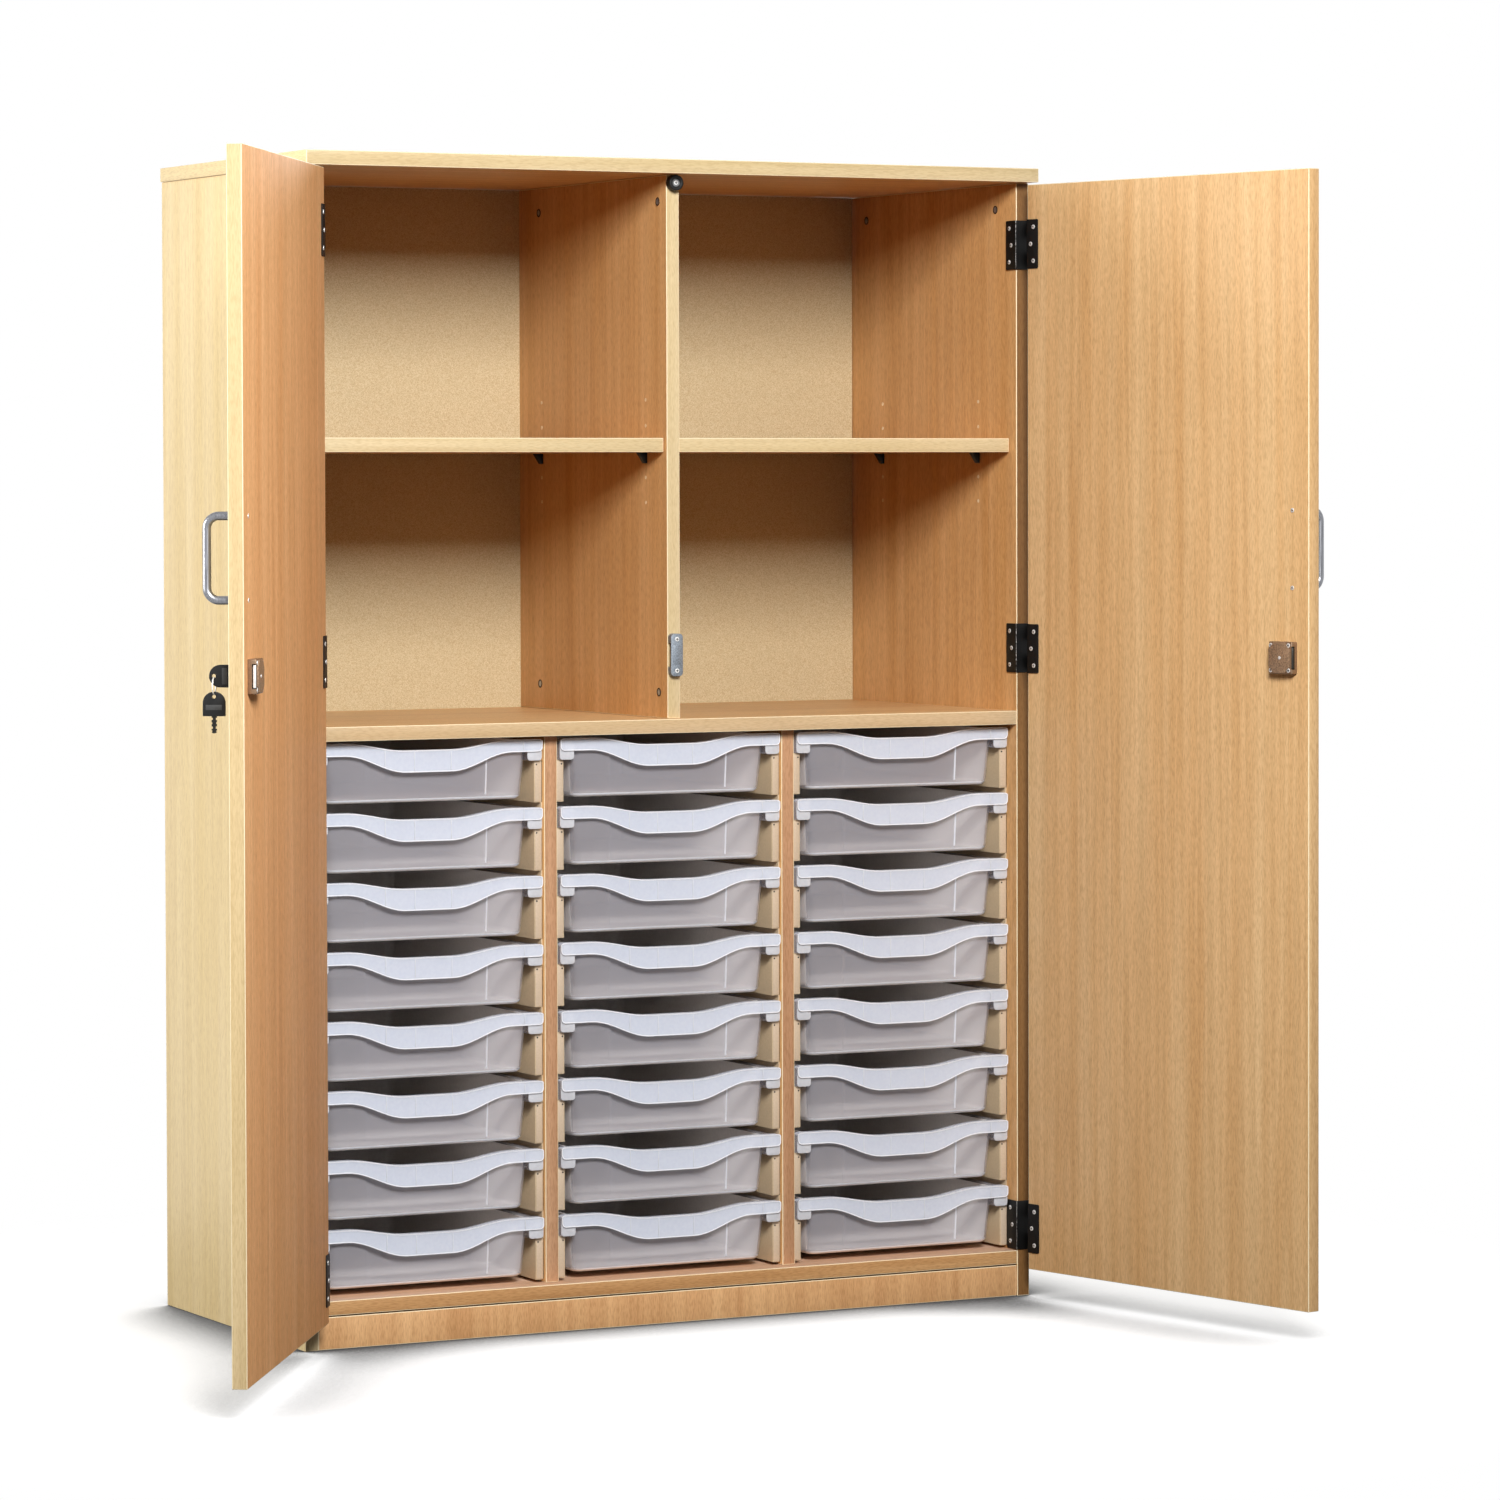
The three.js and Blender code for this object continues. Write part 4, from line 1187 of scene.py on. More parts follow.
class CUPBOARD_OT_doors(bpy.types.Operator):
    """The two doors"""

    bl_idname = "cupboard.doors"
    bl_label = "Doors"

    def execute(self, context):
        edges = door_edges()
        for side in SIDES:
            low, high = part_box(f"{side}_door")
            door = start_box(
                f"{side}_door_board",
                (edges.hinge - EDGE_COVER, edges.outer, low.z),
                (edges.free, edges.inner, high.z),
                *[wood(kind, "z") for kind in DOOR_WOODS[side]],
                finish("arris"),
                wood("outer_beech", "z"),
            )
            paint_faces(door, 1, lambda centre, normal: abs(normal.y) < FACING)
            # Painted light: the outer face gets the paler copy of the beech
            paint_faces(door, 3, facing(-INWARD))
            # The rounded arrises get the pale arris colour: painted highlight
            soften(door, sizes().arris, segments=3, index=2)
            fitted(door, side, "beech", f"{side}_door")
        return {"FINISHED"}


# Screws

SCREW_BACK = 0.4 * MM
SCREW_PROUD = 0.6 * MM
SCREW_ARRIS = 0.35 * MM
SLOT_SHARE = 0.6
SLOT_HALF_WIDTH = 0.45 * MM
SLOT_TOP = 2 * MM


def screw_pattern():
    """A screw head at the origin that looks along +Z, with a cross slot."""
    radius = sizes().screw
    foot, top = (0, 0, -SCREW_BACK), (0, 0, SCREW_PROUD)
    head = start_round("screw", radius, foot, top, finish("steel_polished"), around=20)
    soften(head, SCREW_ARRIS)
    reach = SLOT_SHARE * radius
    # The cross slot is lined in black: painted shade
    for wide, tall in ((reach, SLOT_HALF_WIDTH), (SLOT_HALF_WIDTH, reach)):
        carve(head, start_box("slot", (-wide, -tall, 0), (wide, tall, SLOT_TOP), finish("satin_black")))
    return head


def screws_at(name, pattern, seats, outward):
    """Screws at several points, with their heads looking in one direction."""
    return joined(name, [turned(copied(pattern, "screw"), Vector(seat), outward) for seat in seats])


# Hinges

HINGE_SEAT = 0.3 * MM
HINGE_CORNER = 2 * MM
HINGE_ARRIS = 0.4 * MM
MIDDLE_KNUCKLE = 20 * MM
KNUCKLE_GAP = 0.6 * MM
STRAP_REACH = 6 * MM
PIN_RADIUS = 1.4 * MM
WEAR_AND_HIGHLIGHT_LEAN = 0.3
SCREW_RISES = (-22 * MM, 0, 22 * MM)
SCREW_STAGGER = (0, -5 * MM, 0)
FIXED_SCREW_INSET = 9 * MM
DOOR_SCREW_PLACE = 14 * MM


def leaf_seat():
    """The x at which the left hinges' fixed leaves sit on the side panel's inner face."""
    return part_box("left_side_panel")[0].x + sizes().board + HINGE_SEAT


def fixed_leaf(name, low, high):
    """The leaf on the left side panel: on its inner face, across its front edge, out to the pin."""
    s = sizes()
    pin_x, pin_y = door_joint("left")["pos_m"][:2]
    face, front = leaf_seat(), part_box("left_side_panel")[0].y - HINGE_SEAT
    arm, leaf = pin_x - s.knuckle + HINGE_SEAT, s.hinge_leaf
    middle, share = (low.z + high.z) / 2, MIDDLE_KNUCKLE / 2 + KNUCKLE_GAP
    black, wear_and_highlight = finish("satin_black"), finish("worn_black")
    plate = start_box("plate", (face, front - leaf, low.z), (face + leaf, high.y, high.z), black, wear_and_highlight)
    round_where(plate, edges_along(RIGHT, INWARD, high.y), HINGE_CORNER, segments=3)
    shapes = [plate, start_box("front", (arm, front - leaf, low.z), (face + leaf, front, high.z), black)]
    for foot, top in ((low.z, middle - share), (middle + share, high.z)):
        shapes.append(start_box("arm", (arm, pin_y, foot), (arm + leaf, front, top), black))
        shapes.append(start_round("barrel", s.knuckle, (pin_x, pin_y, foot), (pin_x, pin_y, top), black))
    shapes.append(start_round("pin", PIN_RADIUS, (pin_x, pin_y, low.z), (pin_x, pin_y, high.z), black))
    for shape in shapes:
        soften(shape, HINGE_ARRIS)
    # The front bend gets bright specks: wear, and a painted highlight along the bend
    paint_faces(plate, 1, lambda centre, normal: normal.x > WEAR_AND_HIGHLIGHT_LEAN and normal.y < -WEAR_AND_HIGHLIGHT_LEAN)
    return joined(name, shapes)


def door_leaf(name, low, high):
    """The leaf on the door in the flat door frame: inner face, round the edge, middle knuckle."""
    s = sizes()
    edges = door_edges()
    edge, far, width = edges.hinge - s.hinge_leaf, edges.inner + s.hinge_leaf, s.hinge_leaf_width
    middle = (low.z + high.z) / 2
    foot, top = middle - MIDDLE_KNUCKLE / 2, middle + MIDDLE_KNUCKLE / 2
    black = finish("satin_black")
    plate = start_box("plate", (edge, edges.inner, low.z), (width, far, high.z), black)
    round_where(plate, edges_along(INWARD, RIGHT, width), HINGE_CORNER, segments=3)
    shapes = [
        plate,
        start_box("wrap", (edge, STRAP_REACH, low.z), (edges.hinge, far, high.z), black),
        start_box("strap", (edge, 0, foot), (edges.hinge, STRAP_REACH, top), black),
        start_round("barrel", s.knuckle, (0, 0, foot), (0, 0, top), black),
    ]
    for shape in shapes:
        soften(shape, HINGE_ARRIS)
    return joined(name, shapes)


class CUPBOARD_OT_hinges(bpy.types.Operator):
    """Wrap-round hinges with their screws"""

    bl_idname = "cupboard.hinges"
    bl_label = "Hinges"

    def execute(self, context):
        leaf = sizes().hinge_leaf
        panel_face, door_face = leaf_seat() + leaf, door_edges().inner + leaf
        pattern = screw_pattern()
        for side in SIDES:
            for level in LEVELS:
                node = f"{side}_{level}_hinge"
                low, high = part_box(node)
                middle = (low.z + high.z) / 2
                steps = [(shift, middle + rise) for shift, rise in zip(SCREW_STAGGER, SCREW_RISES)]
                seats = [(panel_face, high.y - FIXED_SCREW_INSET + shift, rise) for shift, rise in steps]
                fixed = fixed_leaf(f"{node}_fixed_leaf", low, high)
                fixed_screws = screws_at(f"{node}_fixed_screws", pattern, seats, RIGHT)
                if side == "right":
                    mirrored(fixed)
                    mirrored(fixed_screws)
                settle(fixed, "carcass", "black_steel", node)
                settle(fixed_screws, "carcass", "bright_steel")
                fitted(door_leaf(f"{node}_door_leaf", low, high), side, "black_steel")
                seats = [(DOOR_SCREW_PLACE + shift, door_face, rise) for shift, rise in steps]
                fitted(screws_at(f"{node}_door_screws", pattern, seats, INWARD), side, "bright_steel")
        removed(pattern)
        return {"FINISHED"}


# Handles

BEND_STEPS = 9


def handle_bar():
    """A round bar bent twice, in the flat door frame."""
    s = sizes()
    outer = door_edges().outer
    place, bend = door_edges().free - s.handle_from_edge, s.handle_bend
    turn = outer - s.handle_projection + s.handle_bar + bend
    low, high = s.handle_rise - s.handle_centres / 2, s.handle_rise + s.handle_centres / 2
    bpy.ops.object.select_all(action="DESELECT")
    bpy.ops.mesh.primitive_circle_add(
        vertices=20,
        radius=s.handle_bar,
        fill_type="NGON",
        location=(place, outer, low),
        rotation=(QUARTER_TURN, 0, 0),
    )
    bar = dress(applied(named("handle_bar")), brushed_steel())
    pick(bar, "FACE", every_face)
    extrude((0, turn - outer, 0))
    bpy.ops.mesh.spin(steps=BEND_STEPS, angle=QUARTER_TURN, center=(place, turn, low + bend), axis=RIGHT)
    extrude((0, 0, high - low - 2 * bend))
    bpy.ops.mesh.spin(steps=BEND_STEPS, angle=QUARTER_TURN, center=(place, turn, high - bend), axis=RIGHT)
    extrude((0, outer - turn, 0))
    to_object()
    face_out(bar)
    bpy.ops.object.shade_smooth_by_angle(angle=CURVE_ANGLE)
    return bar


class CUPBOARD_OT_handles(bpy.types.Operator):
    """D handles and the screws that hold them"""

    bl_idname = "cupboard.handles"
    bl_label = "Handles"

    def execute(self, context):
        s = sizes()
        edges = door_edges()
        place, half = edges.free - s.handle_from_edge, s.handle_centres / 2
        seats = [(place, edges.inner, s.handle_rise + step) for step in (-half, half)]
        bar, pattern = handle_bar(), screw_pattern()
        for side in SIDES:
            fitted(copied(bar, f"{side}_handle_bar"), side, "brushed_steel", f"{side}_handle")
            fitted(screws_at(f"{side}_handle_screws", pattern, seats, INWARD), side, "bright_steel")
        removed(bar)
        removed(pattern)
        return {"FINISHED"}


# Locks

CASE_ARRIS = 1.2 * MM
BOLT_HALF_HEIGHT = 13 * MM
BOLT_NEAR = 6.4 * MM
BOLT_FAR = 9.9 * MM
BOLT_LENGTH = 22 * MM
BOLT_PROUD = 1 * MM
BOLT_GAP = 1.2 * MM
BOLT_BACK_GAP = 0.3 * MM
BOLT_NOSE = 0.8 * MM
BARREL_RADIUS = 9 * MM
BARREL_PROUD = 1.5 * MM
BARREL_DISH = 0.8 * MM
PLUG_RADIUS = 5 * MM
PLUG_GAP = 0.4 * MM
COVER_THICKNESS = 1.6 * MM
COVER_NOTCH = 8 * MM
COVER_NOTCH_PROFILE = 0.2
COVER_BORDER = 1 * MM
COVER_BOLT_BORDER = 3 * MM
COVER_ARRIS = 0.35 * MM
RIVET_RADIUS = 2.2 * MM
RIVET_SUNK = 1 * MM
RIVET_PROUD = 0.5 * MM
LOCK_ARRIS = 0.3 * MM
LOCK_SCREW_PLACE = 15.5 * MM
LOCK_SCREW_SHIFT = 1 * MM


def lock_place():
    """The middle of the lock in the flat door frame, on the door's inner face."""
    s = sizes()
    edges = door_edges()
    return Vector((edges.free - s.lock_from_edge - s.lock_case / 2, edges.inner, s.lock_rise))


def barrel_face():
    """The middle of the lock barrel's outer face."""
    middle = lock_place()
    return Vector((middle.x, door_edges().outer - BARREL_PROUD, middle.z))


def box_about(middle, name, low, high, *materials):
    """A block between two corners that are measured from a middle."""
    return start_box(name, middle + Vector(low), middle + Vector(high), *materials)


def lock_case(name):
    """A square case with a notched cover plate, a bolt slot and a barrel through the door."""
    s = sizes()
    middle = lock_place()
    half, deep, seat = s.lock_case / 2, s.lock_depth, s.lock_depth - COVER_THICKNESS
    case = box_about(middle, "case", (-half, 0, -half), (half, seat, half), finish("lock_case_metal"))
    soften(case, CASE_ARRIS, segments=3)
    # The bolt's slot is lined in black: painted shade
    way = box_about(
        middle,
        "way",
        (half - BOLT_LENGTH, BOLT_NEAR - BOLT_GAP, -BOLT_HALF_HEIGHT - BOLT_GAP),
        (half + BOLT_PROUD, BOLT_FAR + BOLT_BACK_GAP, BOLT_HALF_HEIGHT + BOLT_GAP),
        finish("satin_black"),
    )
    carve(case, way)
    cover = box_about(
        middle,
        "cover",
        (COVER_BORDER - half, seat, COVER_BORDER - half),
        (half - COVER_BOLT_BORDER, deep, half - COVER_BORDER),
        finish("lock_bronze"),
    )
    round_where(cover, edges_along(INWARD), COVER_NOTCH, segments=6, profile=COVER_NOTCH_PROFILE)
    soften(cover, COVER_ARRIS)
    foot, top = middle + (deep - RIVET_SUNK) * INWARD, middle + (deep + RIVET_PROUD) * INWARD
    polished = finish("steel_polished")
    rivet = start_round("rivet", RIVET_RADIUS, foot, top, polished)
    soften(rivet, RIVET_PROUD, segments=3)
    barrel = start_round("barrel", BARREL_RADIUS, barrel_face(), middle, polished, around=32)
    step_where(barrel, facing(-INWARD), BARREL_RADIUS - PLUG_RADIUS - PLUG_GAP, BARREL_DISH * INWARD)
    soften(barrel, LOCK_ARRIS)
    return joined(name, [case, cover, rivet, barrel])


def lock_bolt(name, metal):
    """A flat bolt with a rounded nose, drawn back into its case."""
    middle = lock_place()
    end = sizes().lock_case / 2 + BOLT_PROUD
    low = (end - BOLT_LENGTH, BOLT_NEAR, -BOLT_HALF_HEIGHT)
    bolt = box_about(middle, name, low, (end, BOLT_FAR, BOLT_HALF_HEIGHT), metal)
    round_where(bolt, edges_along(UP, RIGHT, middle.x + end), BOLT_NOSE, segments=3)
    return soften(bolt, LOCK_ARRIS)


class CUPBOARD_OT_locks(bpy.types.Operator):
    """Lock cases with their screws, and the bolts"""

    bl_idname = "cupboard.locks"
    bl_label = "Locks"

    def execute(self, context):
        middle = lock_place() + Vector((-LOCK_SCREW_SHIFT, sizes().lock_depth - COVER_THICKNESS, 0))
        steps = (-LOCK_SCREW_PLACE, LOCK_SCREW_PLACE)
        seats = [middle + Vector((across, 0, along)) for across in steps for along in steps]
        pattern = screw_pattern()
        for side, metal in (("left", "steel_polished"), ("right", "dull_steel")):
            fitted(lock_case(f"{side}_lock_case_body"), side, "lock_steel", f"{side}_lock_case")
            bolt = hung(lock_bolt(f"{side}_lock_bolt_bar", finish(metal)), side)
            settle(bolt, f"{side}_bolt", "bright_steel", f"{side}_lock_bolt")
            fitted(screws_at(f"{side}_lock_screws", pattern, seats, INWARD), side, "bright_steel")
        removed(pattern)
        return {"FINISHED"}


# Keys

BOW_LENGTH = 28 * MM
BOW_HALF_THICKNESS = 2.5 * MM
BOW_HOLE_RADIUS = 2.5 * MM
BOW_HOLE_FROM_END = 5.5 * MM
BOW_OFF_BARREL = 0.5 * MM
BOW_TIP_FLAT = 0.05 * MM
BOW_ARRIS = 0.6 * MM
BAND_FOOT = 7 * MM
BAND_TOP = 13 * MM
BAND_SHARE = 0.72
BAND_BITE = 0.2 * MM
BAND_PROUD = 0.25 * MM
BAND_ARRIS = 0.2 * MM
PLUG_DEPTH = 6.5 * MM
BLADE_LENGTH = 19.5 * MM
BLADE_HALF_WIDTH = 3 * MM
BLADE_HALF_THICKNESS = 1 * MM
BLADE_BITE = 0.3 * MM
BLADE_TIP = 2 * MM
BLADE_ARRIS = 0.15 * MM
# How far down each notch of the blade is, and how deep
BLADE_NOTCHES = ((3 * MM, 1.2 * MM), (8 * MM, 0.9 * MM), (13 * MM, 1.3 * MM), (17 * MM, 0.8 * MM))
NOTCH_REACH = 4 * MM
RING_RADIUS = 10 * MM
RING_WIRE = 0.8 * MM
RING_STEPS = 36
RING_LAP = 0.5 * MM


def key_bow(name):
    """A bow that points along +Z from the origin: half-round at the far end, with a hole and bands."""
    half, thick = sizes().key_bow / 2, BOW_HALF_THICKNESS
    plastic = finish("plastic_black")
    bow = start_box(name, (-thick, -half, 0), (thick, half, BOW_LENGTH), plastic)
    round_where(bow, edges_along(RIGHT, UP, BOW_LENGTH), half - BOW_TIP_FLAT, segments=10)
    soften(bow, BOW_ARRIS)
    hole = BOW_LENGTH - BOW_HOLE_FROM_END
    carve(bow, start_round("hole", BOW_HOLE_RADIUS, (-half, 0, hole), (half, 0, hole), plastic))
    wide = BAND_SHARE * half
    shapes = [bow]
    for near, far in ((-thick - BAND_PROUD, BAND_BITE - thick), (thick - BAND_BITE, thick + BAND_PROUD)):
        band = start_box("band", (near, -wide, BAND_FOOT), (far, wide, BAND_TOP), finish("key_band"))
        shapes.append(soften(band, BAND_ARRIS))
    return joined(name, shapes)


def lock_key():
    """The key in the left lock: its bow points straight out of the door."""
    face = barrel_face()
    foot = face - BOW_OFF_BARREL * INWARD
    bow = turned(key_bow("key_bow"), foot, -INWARD)
    plug = start_round("plug", PLUG_RADIUS, foot, face + PLUG_DEPTH * INWARD, finish("steel_polished"))
    return joined("lock_key_body", [bow, soften(plug, LOCK_ARRIS)])


def key_ring(top):
    """A wire ring in the plane of the door that hangs from a point."""
    bpy.ops.object.select_all(action="DESELECT")
    bpy.ops.mesh.primitive_circle_add(
        vertices=8, radius=RING_WIRE, location=top, rotation=(0, QUARTER_TURN, 0)
    )
    ring = dress(applied(named("ring")), finish("steel_polished"))
    pick(ring, "VERT", lambda point: True)
    bpy.ops.mesh.spin(steps=RING_STEPS, angle=2 * math.pi, center=top - RING_RADIUS * UP, axis=INWARD)
    to_object()
    face_out(ring)
    bpy.ops.object.shade_smooth()
    return ring


def key_blade(foot):
    """A flat blade that hangs from the bow's foot, notched along both edges."""
    steel = finish("key_blade")
    low = (-BLADE_HALF_THICKNESS, -BLADE_HALF_WIDTH, -BLADE_LENGTH)
    blade = box_about(foot, "blade", low, (BLADE_HALF_THICKNESS, BLADE_HALF_WIDTH, BLADE_BITE), steel)
    round_where(blade, edges_along(RIGHT, -UP, BLADE_LENGTH - foot.z), BLADE_TIP, segments=2)
    for down, depth in BLADE_NOTCHES:
        for edge in (-BLADE_HALF_WIDTH, BLADE_HALF_WIDTH):
            place, reach = foot + Vector((0, edge, -down)), Vector((NOTCH_REACH, depth, depth))
            carve(blade, box_about(place, "notch", -reach, reach, steel))
    return soften(blade, BLADE_ARRIS, segments=1)


def spare_key(top):
    """The spare key on its ring: bow up, blade hanging down."""
    ring = key_ring(top)
    hole = top.z - 2 * RING_RADIUS - BOW_HOLE_RADIUS + RING_LAP
    foot = Vector((top.x, top.y, hole - BOW_LENGTH + BOW_HOLE_FROM_END))
    bow = moved(key_bow("spare_bow"), foot)
    return joined("spare_key_on_ring", [bow, ring, key_blade(foot)])


class CUPBOARD_OT_keys(bpy.types.Operator):
    """The key in the left lock and the spare that hangs from it"""

    bl_idname = "cupboard.keys"
    bl_label = "Keys"

    def execute(self, context):
        settle(hung(lock_key(), "left"), "key", "black_plastic", "lock_key")
        top = barrel_face() - (BOW_OFF_BARREL + BOW_LENGTH - BOW_HOLE_FROM_END) * INWARD
        top.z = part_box("spare_key")[1].z - RING_WIRE
        settle(hung(spare_key(top), "left"), "spare", "black_plastic", "spare_key")
        return {"FINISHED"}


# Keep and buffer

KEEP_CORNER = 5 * MM
KEEP_ARRIS = 0.5 * MM
KEEP_WALL = 1.5 * MM
KEEP_SLOT_HALF = 15 * MM
KEEP_SCREW_RISE = 20 * MM
KEEP_PAD_HALF = 12 * MM
KEEP_PAD_INSET = 3.5 * MM
KEEP_PAD_PROUD = 0.6 * MM
BUFFER_RIM_SHARE = 0.45
BUFFER_DISH = 2.5 * MM
BUFFER_ARRIS = 1.2 * MM


def lock_keep(low, high):
    """A plate with rounded corners, open at the back for the bolts, with a raised pad in front."""
    middle = (low.z + high.z) / 2
    zinc = finish("zinc_plate")
    plate = start_box("plate", low, high, zinc)
    round_where(plate, edges_along(INWARD), KEEP_CORNER, segments=5)
    # The slot is lined in black: painted shade
    slot = start_box(
        "slot",
        (low.x - MM, low.y + KEEP_WALL, middle - KEEP_SLOT_HALF),
        (high.x + MM, high.y + MM, middle + KEEP_SLOT_HALF),
        finish("satin_black"),
    )
    carve(plate, slot)
    pad = start_box(
        "pad",
        (low.x + KEEP_PAD_INSET, low.y - KEEP_PAD_PROUD, middle - KEEP_PAD_HALF),
        (high.x - KEEP_PAD_INSET, low.y + KEEP_PAD_PROUD, middle + KEEP_PAD_HALF),
        zinc,
    )
    return joined("lock_keep_plate", [soften(plate, KEEP_ARRIS), soften(pad, KEEP_ARRIS)])


def door_buffer(low, high):
    """A round rubber pad, dished in front, with a washer in the dish."""
    middle, radius = (low.z + high.z) / 2, (high.x - low.x) / 2
    buffer = start_round(
        "door_buffer_pad",
        radius,
        (0, low.y, middle),
        (0, high.y, middle),
        finish("buffer_rubber"),
        finish("buffer_disc"),
        around=32,
    )
    front = facing(-INWARD)
    step_where(buffer, front, BUFFER_RIM_SHARE * radius, BUFFER_DISH * INWARD)
    soften(buffer, BUFFER_ARRIS, segments=3)
    washer = low.y + BUFFER_DISH - MM / 2
    paint_faces(buffer, 1, lambda centre, normal: front(centre, normal) and centre.y > washer)
    return buffer


class CUPBOARD_OT_keep_and_buffer(bpy.types.Operator):
    """The lock keep and the rubber buffer on the upper divider's front edge"""

    bl_idname = "cupboard.keep_and_buffer"
    bl_label = "Keep and buffer"

    def execute(self, context):
        pattern = screw_pattern()
        low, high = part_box("lock_keep")
        middle = (low.z + high.z) / 2
        settle(lock_keep(low, high), "carcass", "brushed_steel", "lock_keep")
        seats = [(0, low.y, middle + rise) for rise in (-KEEP_SCREW_RISE, KEEP_SCREW_RISE)]
        settle(screws_at("lock_keep_screws", pattern, seats, -INWARD), "carcass", "bright_steel")
        low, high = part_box("door_buffer")
        settle(door_buffer(low, high), "carcass", "rubber", "door_buffer")
        seats = [(0, low.y + BUFFER_DISH, (low.z + high.z) / 2)]
        settle(screws_at("door_buffer_screw", pattern, seats, -INWARD), "carcass", "bright_steel")
        removed(pattern)
        return {"FINISHED"}


# Stage

CAMERA_PLACE = mm(-3273.2, -6484.8, 1074.9)
CAMERA_YAW = math.radians(27.549)
CAMERA_PITCH = math.radians(-1.558)
CAMERA_ROLL = math.radians(-0.136)
CAMERA_LENS = 137.44
CAMERA_SENSOR = 36
CAMERA_SHIFT = -0.0785
CAMERA_REACH = 100
FLOOR_DROP = 0.5 * MM
FLOOR_ROUGHNESS = 0.9
# Distances from the cupboard's middle at which the floor starts to fade and is gone
FLOOR_FADE = (0.9, 1.4)
# The floor's glow for the camera and its colour are darkened by ambient occlusion near the cupboard, down to
# the deepest share: painted shade
FLOOR_LIFT = 0.84
FLOOR_SHADE = 0.3
FLOOR_DEEPEST = 0.08
FLOOR_SHADE_REACH = 0.25
FLOOR_SHADE_ENDS = (0.45, 0.84)
FLOOR_SHADE_SAMPLES = 16
FLOOR_BOUNCE = 0.12
ROOM_LIGHT = 0.03
LAMP_TARGET = mm(0, 200, 750)
# Place, power in watts and width in metres
LAMPS = {
    "key_lamp": (mm(-1150, -3600, 2650), 232, 1.15),
    "side_lamp": (mm(-3600, 550, 1500), 98, 1.2),
    "back_lamp": (mm(2700, 3100, 2100), 90, 1.6),
}


def eased(tree, value, ends, levels):
    """Goes smoothly from one level to the other while a value goes from end to end."""
    node = tree.nodes.new("ShaderNodeMapRange")
    node.interpolation_type = "SMOOTHSTEP"
    for name, amount in zip(("From Min", "From Max", "To Min", "To Max"), (*ends, *levels)):
        node.inputs[name].default_value = amount
    tree.links.new(value, node.inputs["Value"])
    return node.outputs["Result"]


def either(tree, first, second):
    """The greater of two values."""
    node = tree.nodes.new("ShaderNodeMath")
    node.operation = "MAXIMUM"
    tree.links.new(first, node.inputs[0])
    tree.links.new(second, node.inputs[1])
    return node.outputs["Value"]


def scaled(tree, value, share):
    node = tree.nodes.new("ShaderNodeMath")
    node.operation = "MULTIPLY"
    tree.links.new(value, node.inputs[0])
    node.inputs[1].default_value = share
    return node.outputs["Value"]


def chosen(tree, factor, level):
    """A node that gives a level where the factor is 0 and its input B where it is 1."""
    node = tree.nodes.new("ShaderNodeMix")
    node.data_type = "FLOAT"
    node.inputs["A"].default_value = level
    tree.links.new(factor, node.inputs["Factor"])
    return node


def studio_floor():
    """A white floor that glows for the camera, keeps the lamps' shadows, carries painted shade from ambient
    occlusion close to the cupboard, and fades out around it.
    """
    bpy.ops.object.select_all(action="DESELECT")
    bpy.ops.mesh.primitive_plane_add(size=2 * FLOOR_FADE[1], location=(0, 0, -FLOOR_DROP))
    floor = applied(named("studio_floor"))
    material, tree, shader = new_finish("studio_floor", FLOOR_ROUGHNESS, shine=0.0)
    shader.inputs["Emission Color"].default_value = (*WHITE, 1)
    # Painted shade: ambient occlusion darkens the floor near the cupboard
    near = tree.nodes.new("ShaderNodeAmbientOcclusion")
    near.samples = FLOOR_SHADE_SAMPLES
    near.inputs["Distance"].default_value = FLOOR_SHADE_REACH
    painted_shade_share = eased(tree, near.outputs["AO"], FLOOR_SHADE_ENDS, (FLOOR_DEEPEST, 1.0))
    seen = tree.nodes.new("ShaderNodeLightPath").outputs["Is Camera Ray"]
    for socket, level, lit_level in (
        ("Base Color", FLOOR_SHADE, FLOOR_BOUNCE),
        ("Emission Strength", FLOOR_LIFT, 0.0),
    ):
        mix = chosen(tree, seen, lit_level)
        tree.links.new(scaled(tree, painted_shade_share, level), mix.inputs["B"])
        tree.links.new(mix.outputs["Result"], shader.inputs[socket])
    place = tree.nodes.new("ShaderNodeTexCoord")
    distance = tree.nodes.new("ShaderNodeVectorMath")
    distance.operation = "LENGTH"
    tree.links.new(place.outputs["Object"], distance.inputs[0])
    fade = eased(tree, distance.outputs["Value"], FLOOR_FADE, (1.0, 0.0))
    tree.links.new(fade, shader.inputs["Alpha"])
    dress(floor, material)


def studio_world():
    """White where the camera, gloss and glass look, softer where it lights."""
    world = bpy.data.worlds.new("studio_world")
    bpy.context.scene.world = world
    world.use_nodes = True
    tree = world.node_tree
    rays = tree.nodes.new("ShaderNodeLightPath").outputs
    seen = either(tree, rays["Is Camera Ray"], rays["Is Glossy Ray"])
    mix = chosen(tree, either(tree, seen, rays["Is Transmission Ray"]), ROOM_LIGHT)
    mix.inputs["B"].default_value = 1.0
    surroundings = tree.nodes["Background"].inputs
    surroundings["Color"].default_value = (*WHITE, 1)
    tree.links.new(mix.outputs["Result"], surroundings["Strength"])


def studio_lamp(name, place, power, width):
    bpy.ops.object.light_add(type="AREA", location=place)
    lamp = bpy.context.object
    lamp.name = name
    lamp.data.energy = power
    lamp.data.size = width
    lamp.rotation_euler = (LAMP_TARGET - place).to_track_quat("-Z", "Y").to_euler()


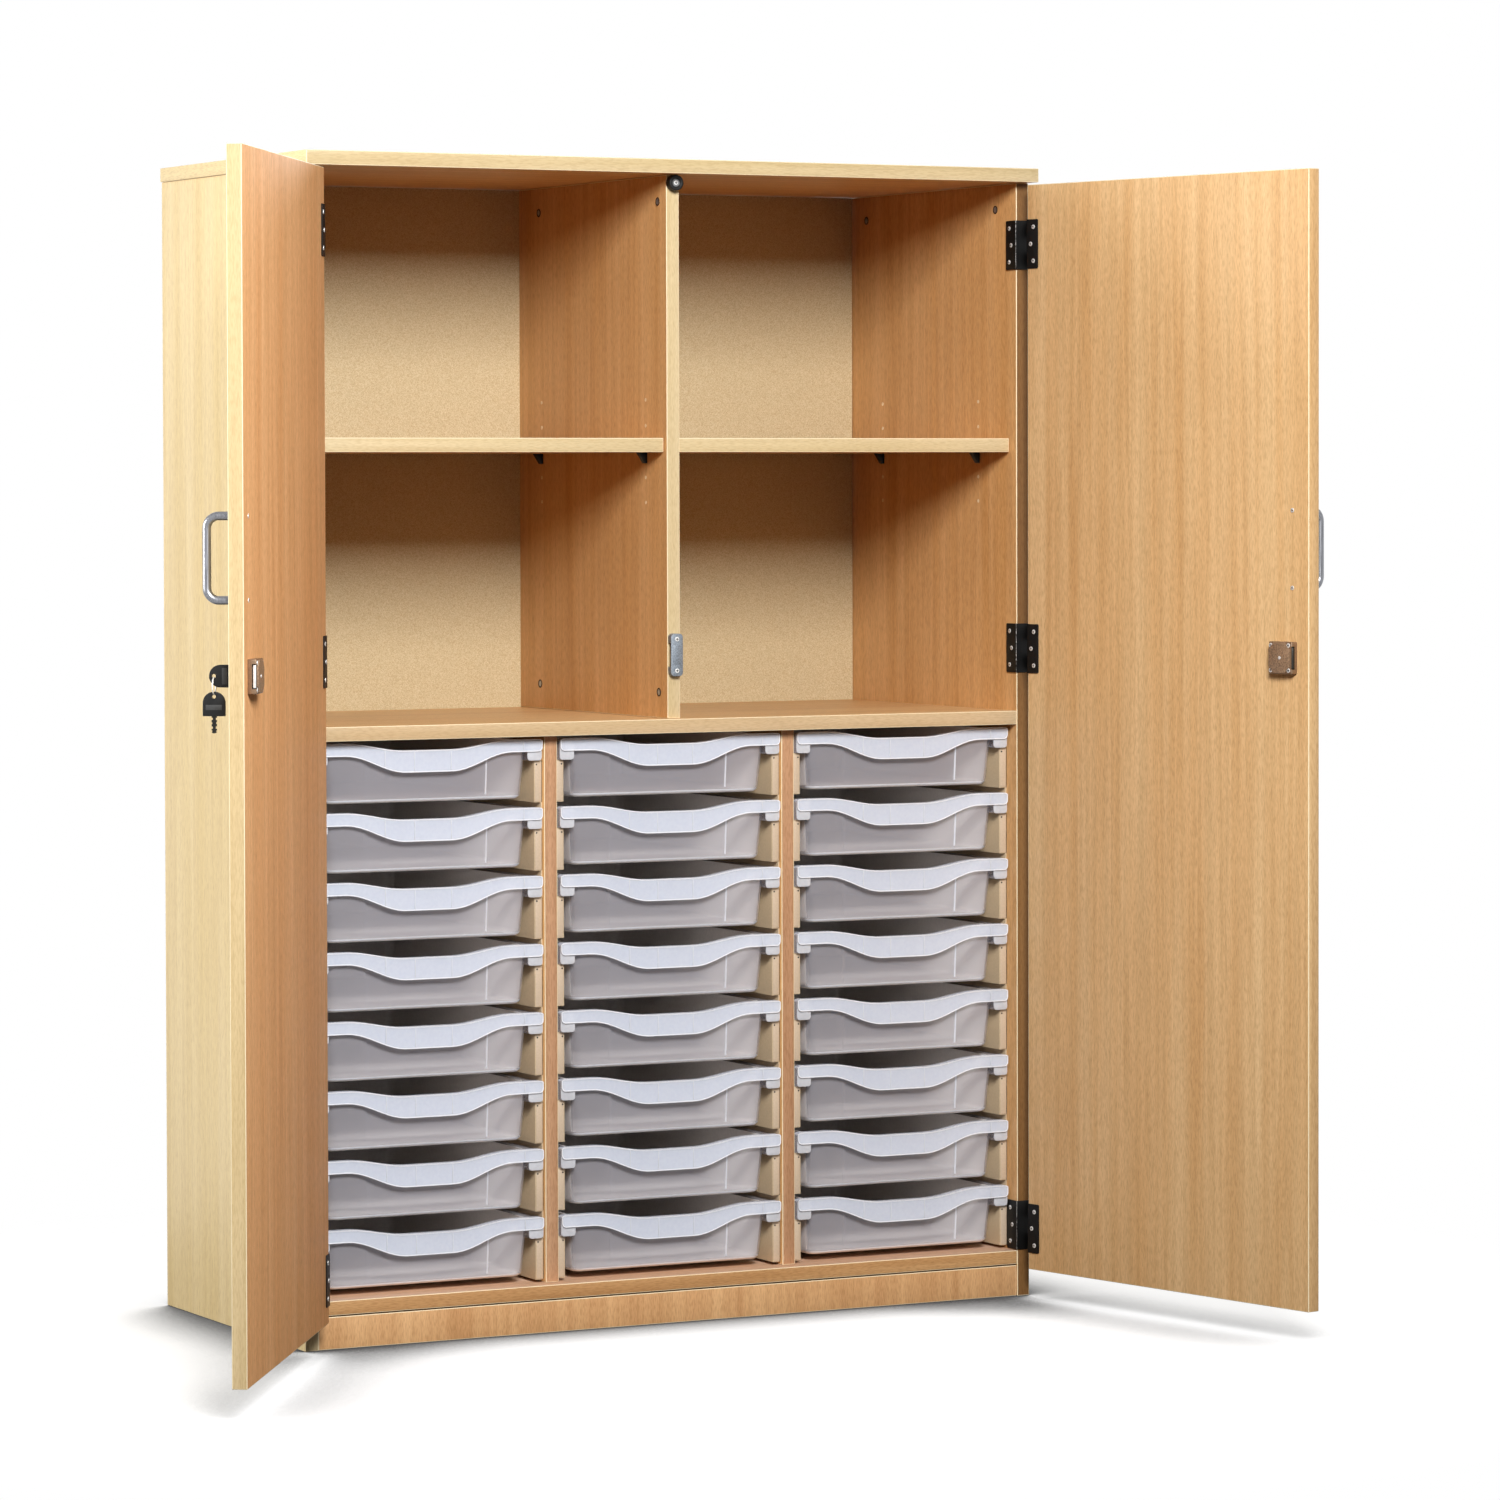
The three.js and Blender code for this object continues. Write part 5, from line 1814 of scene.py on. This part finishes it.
def studio_camera():
    across = Vector((math.cos(CAMERA_YAW), -math.sin(CAMERA_YAW), 0))
    ahead = Vector((
        math.sin(CAMERA_YAW) * math.cos(CAMERA_PITCH),
        math.cos(CAMERA_YAW) * math.cos(CAMERA_PITCH),
        math.sin(CAMERA_PITCH),
    ))
    upward = across.cross(ahead)
    right = across * math.cos(CAMERA_ROLL) + upward * math.sin(CAMERA_ROLL)
    top = upward * math.cos(CAMERA_ROLL) - across * math.sin(CAMERA_ROLL)
    bpy.ops.object.camera_add(location=CAMERA_PLACE)
    camera = bpy.context.object
    turn = Matrix((right, top, -ahead)).transposed().to_4x4()
    camera.matrix_world = Matrix.Translation(CAMERA_PLACE) @ turn
    camera.data.lens = CAMERA_LENS
    camera.data.sensor_width = CAMERA_SENSOR
    camera.data.shift_y = CAMERA_SHIFT
    camera.data.clip_end = CAMERA_REACH
    bpy.context.scene.camera = camera


class CUPBOARD_OT_stage(bpy.types.Operator):
    """Floor, white surroundings, lamps and the camera"""

    bl_idname = "cupboard.stage"
    bl_label = "Stage"

    def execute(self, context):
        context.scene.view_settings.view_transform = "Standard"
        studio_floor()
        studio_world()
        for name, (place, power, width) in LAMPS.items():
            studio_lamp(name, place, power, width)
        studio_camera()
        return {"FINISHED"}


STEPS = (
    CUPBOARD_OT_carcass,
    CUPBOARD_OT_shelf_fittings,
    CUPBOARD_OT_runners,
    CUPBOARD_OT_trays,
    CUPBOARD_OT_doors,
    CUPBOARD_OT_hinges,
    CUPBOARD_OT_handles,
    CUPBOARD_OT_locks,
    CUPBOARD_OT_keys,
    CUPBOARD_OT_keep_and_buffer,
    CUPBOARD_OT_stage,
)


class CUPBOARD_PT_panel(bpy.types.Panel):
    """Lists the steps that build the cupboard"""

    bl_idname = "CUPBOARD_PT_panel"
    bl_label = "Tray Cupboard"
    bl_space_type = "VIEW_3D"
    bl_region_type = "UI"
    bl_category = "Tray Cupboard"

    def draw(self, context):
        for step in STEPS:
            self.layout.operator(step.bl_idname)


CLASSES = (CupboardSizes, CupboardFinishes, *STEPS, CUPBOARD_PT_panel)


def register():
    for entry in CLASSES:
        bpy.utils.register_class(entry)
    bpy.types.Scene.cupboard_sizes = PointerProperty(type=CupboardSizes)
    bpy.types.Scene.cupboard_finishes = PointerProperty(type=CupboardFinishes)


def unregister():
    del bpy.types.Scene.cupboard_finishes
    del bpy.types.Scene.cupboard_sizes
    for entry in reversed(CLASSES):
        bpy.utils.unregister_class(entry)


def main():
    register()
    bpy.ops.object.select_all(action="DESELECT")
    bpy.ops.cupboard.carcass()
    bpy.ops.cupboard.shelf_fittings()
    bpy.ops.cupboard.runners()
    bpy.ops.cupboard.trays()
    bpy.ops.cupboard.doors()
    bpy.ops.cupboard.hinges()
    bpy.ops.cupboard.handles()
    bpy.ops.cupboard.locks()
    bpy.ops.cupboard.keys()
    bpy.ops.cupboard.keep_and_buffer()
    bpy.ops.cupboard.stage()


if __name__ == "__main__":
    main()
